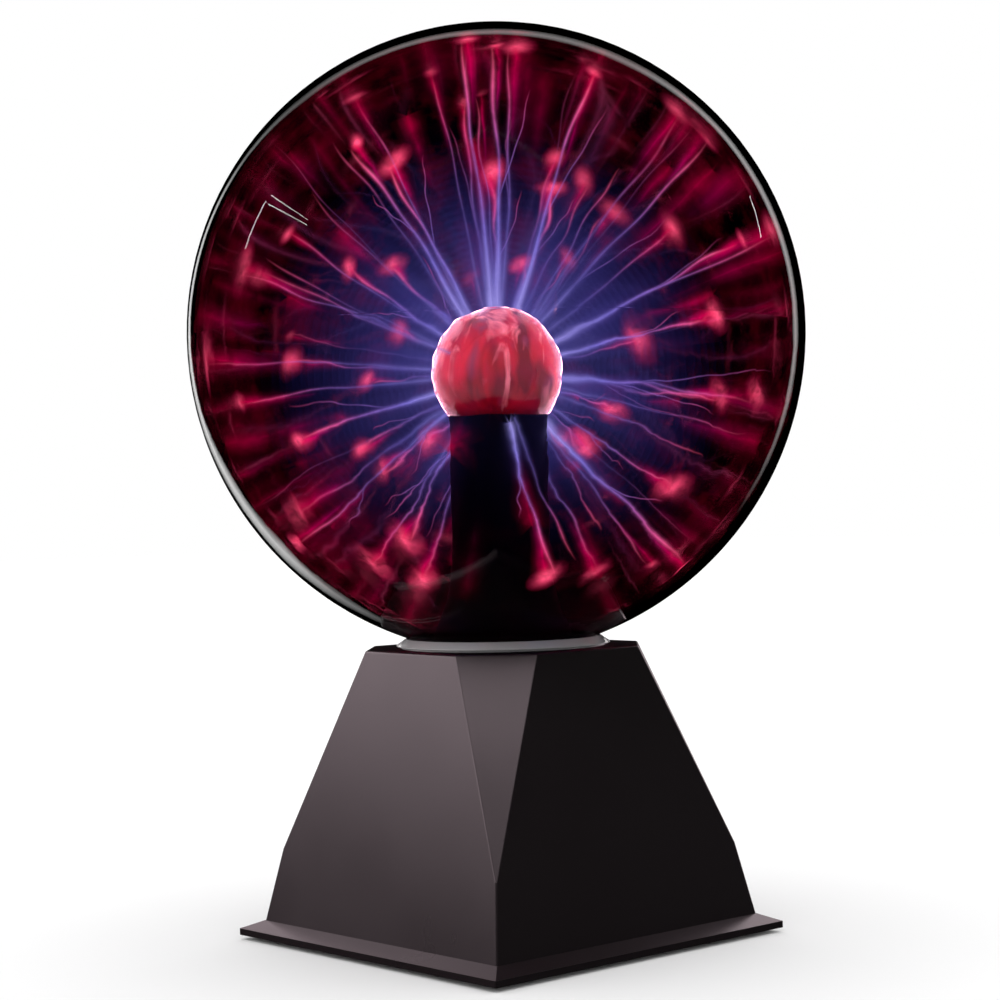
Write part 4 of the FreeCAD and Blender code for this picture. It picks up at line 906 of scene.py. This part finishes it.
# The arc of card behind the globe that its rim mirrors: (polar, near edge, far edge, brightness),
# with the angles in degrees.
RIM_CARD = (
    (-32, 35, 39, 0.0),
    (-18, 34, 40, 0.35),
    (0, 33, 41, 0.75),
    (25, 33, 42, 0.85),
    (45, 34, 43, 0.75),
    (65, 36, 47, 0.5),
    (90, 37, 46, 0.45),
    (108, 36, 44, 0.4),
    (125, 32, 42, 0.2),
    (138, 27, 34, 0.3),
    (150, 23, 30, 0.9),
    (168, 18, 27, 1.1),
    (185, 17, 29, 1.0),
    (200, 19, 36, 1.1),
    (218, 20, 40, 1.1),
    (232, 22, 38, 0.45),
    (248, 26, 33, 0.0),
)

# Thin bright edges of a window that the globe mirrors: ((off axis, polar) at each end, half width),
# in degrees.
WINDOW_EDGES = (
    ((72.8, 145.8), (97.3, 147.8), 0.12),
    ((73.5, 147.8), (98.1, 149.1), 0.12),
    ((71.4, 147.3), (71.0, 158.4), 0.3),
    ((53.0, 30.3), (58.2, 21.3), 0.25),
)


CARD_DISTANCE = 8.0
CARD_STEPS = 4
EDGE_BRIGHTNESS = 4.5

# The card's brightness across its width, from its near edge (0) to its far edge (1).
CARD_SPREAD = ((0.0, 0.0), (0.25, 0.45), (0.6, 1.0), (0.85, 0.5), (1.0, 0.0))


def add_card(cards, rows, levels):
    """A lit band: rows of (off axis, polar) directions, and the brightness at each of them."""
    first = len(cards.points)
    for row, level in zip(rows, levels):
        for (off_axis, polar), bright in zip(row, level):
            cards.points.append(GLOBE_CENTRE + around_axis(off_axis, polar) * CARD_DISTANCE)
            cards.light.append((bright, bright, bright, 1.0))
    cards.weave(first, len(rows), len(rows[0]))


def add_rim_card(cards):
    rows = []
    levels = []
    for before, after in zip(RIM_CARD, RIM_CARD[1:]):
        for step in range(CARD_STEPS):
            share = step / CARD_STEPS
            polar, near, far, bright = (a + (b - a) * share for a, b in zip(before, after))
            rows.append([(near + (far - near) * place, polar) for place, _ in CARD_SPREAD])
            levels.append([bright * part for _, part in CARD_SPREAD])
    add_card(cards, rows, levels)


def add_window_edges(cards):
    """Each edge is a thin band that is widened across the way it runs."""
    for start, end, half in WINDOW_EDGES:
        runs_outwards = abs(start[0] - end[0]) > abs(start[1] - end[1])
        shift_off, shift_polar = (0.0, half) if runs_outwards else (half, 0.0)
        rows = [
            [(off_axis + sign * shift_off, polar + sign * shift_polar) for sign in (-1, 1)]
            for off_axis, polar in (start, end)
        ]
        add_card(cards, rows, [[EDGE_BRIGHTNESS] * 2] * 2)


def card_material():
    mat, tree, shader = material("card_light", Base_Color=(0.0, 0.0, 0.0), Specular_IOR_Level=0.0)
    tree.links.new(light_of_mesh(tree).outputs["Color"], shader.inputs["Emission Color"])
    shader.inputs["Emission Strength"].default_value = 1.6
    mat.cycles.emission_sampling = "NONE"
    return mat


def make_reflections():
    """Cards and window edges that only gloss sees."""
    cards = Glow()
    add_rim_card(cards)
    add_window_edges(cards)
    piece = stage_piece("reflected_cards", cards.mesh("reflected_cards", card_material()))
    piece.visible_camera = False
    piece.visible_diffuse = False
    piece.visible_shadow = False


def make_lights():
    """Soft studio boxes for the base and its collar; the globe only mirrors the cards."""
    apart = ("globe_glass", "exhaust_tip", "neck_collar")
    base = linked_group("base_only", [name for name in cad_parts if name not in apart])
    collar = linked_group("collar_only", ["neck_collar"])
    low = Vector((0, 0, 0.05))
    for lights, group, colour in ((BASE_LIGHTS, base, ROSY), (COLLAR_LIGHTS, collar, NEARLY_WHITE)):
        for name, way, size, radiance in lights:
            softbox(name, way, size, radiance, low, LIGHT_DISTANCE, group, colour)
    light_bulb_outline(linked_group("bulb_only", ["electrode_glass", "electrode_skin"]))


def hide_collar_from_glass():
    """Keeps the brightly lit collar out of the globe's mirror and of rays through the glass."""
    collar = bpy.data.objects["neck_collar"]
    collar.visible_glossy = False
    collar.visible_transmission = False


def write_sizes():
    boxes = {"cad": CAD_BOX, "visual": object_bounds()}
    plain = {name: [list(low), list(high)] for name, (low, high) in boxes.items()}


SCENE.view_settings.view_transform = "Standard"
SCENE.cycles.transparent_max_bounces = 96
dress_nodes()
make_bulb_skin()
make_plasma()
make_floor()
make_world()
make_camera()
make_reflections()
make_lights()
hide_collar_from_glass()
write_sizes()
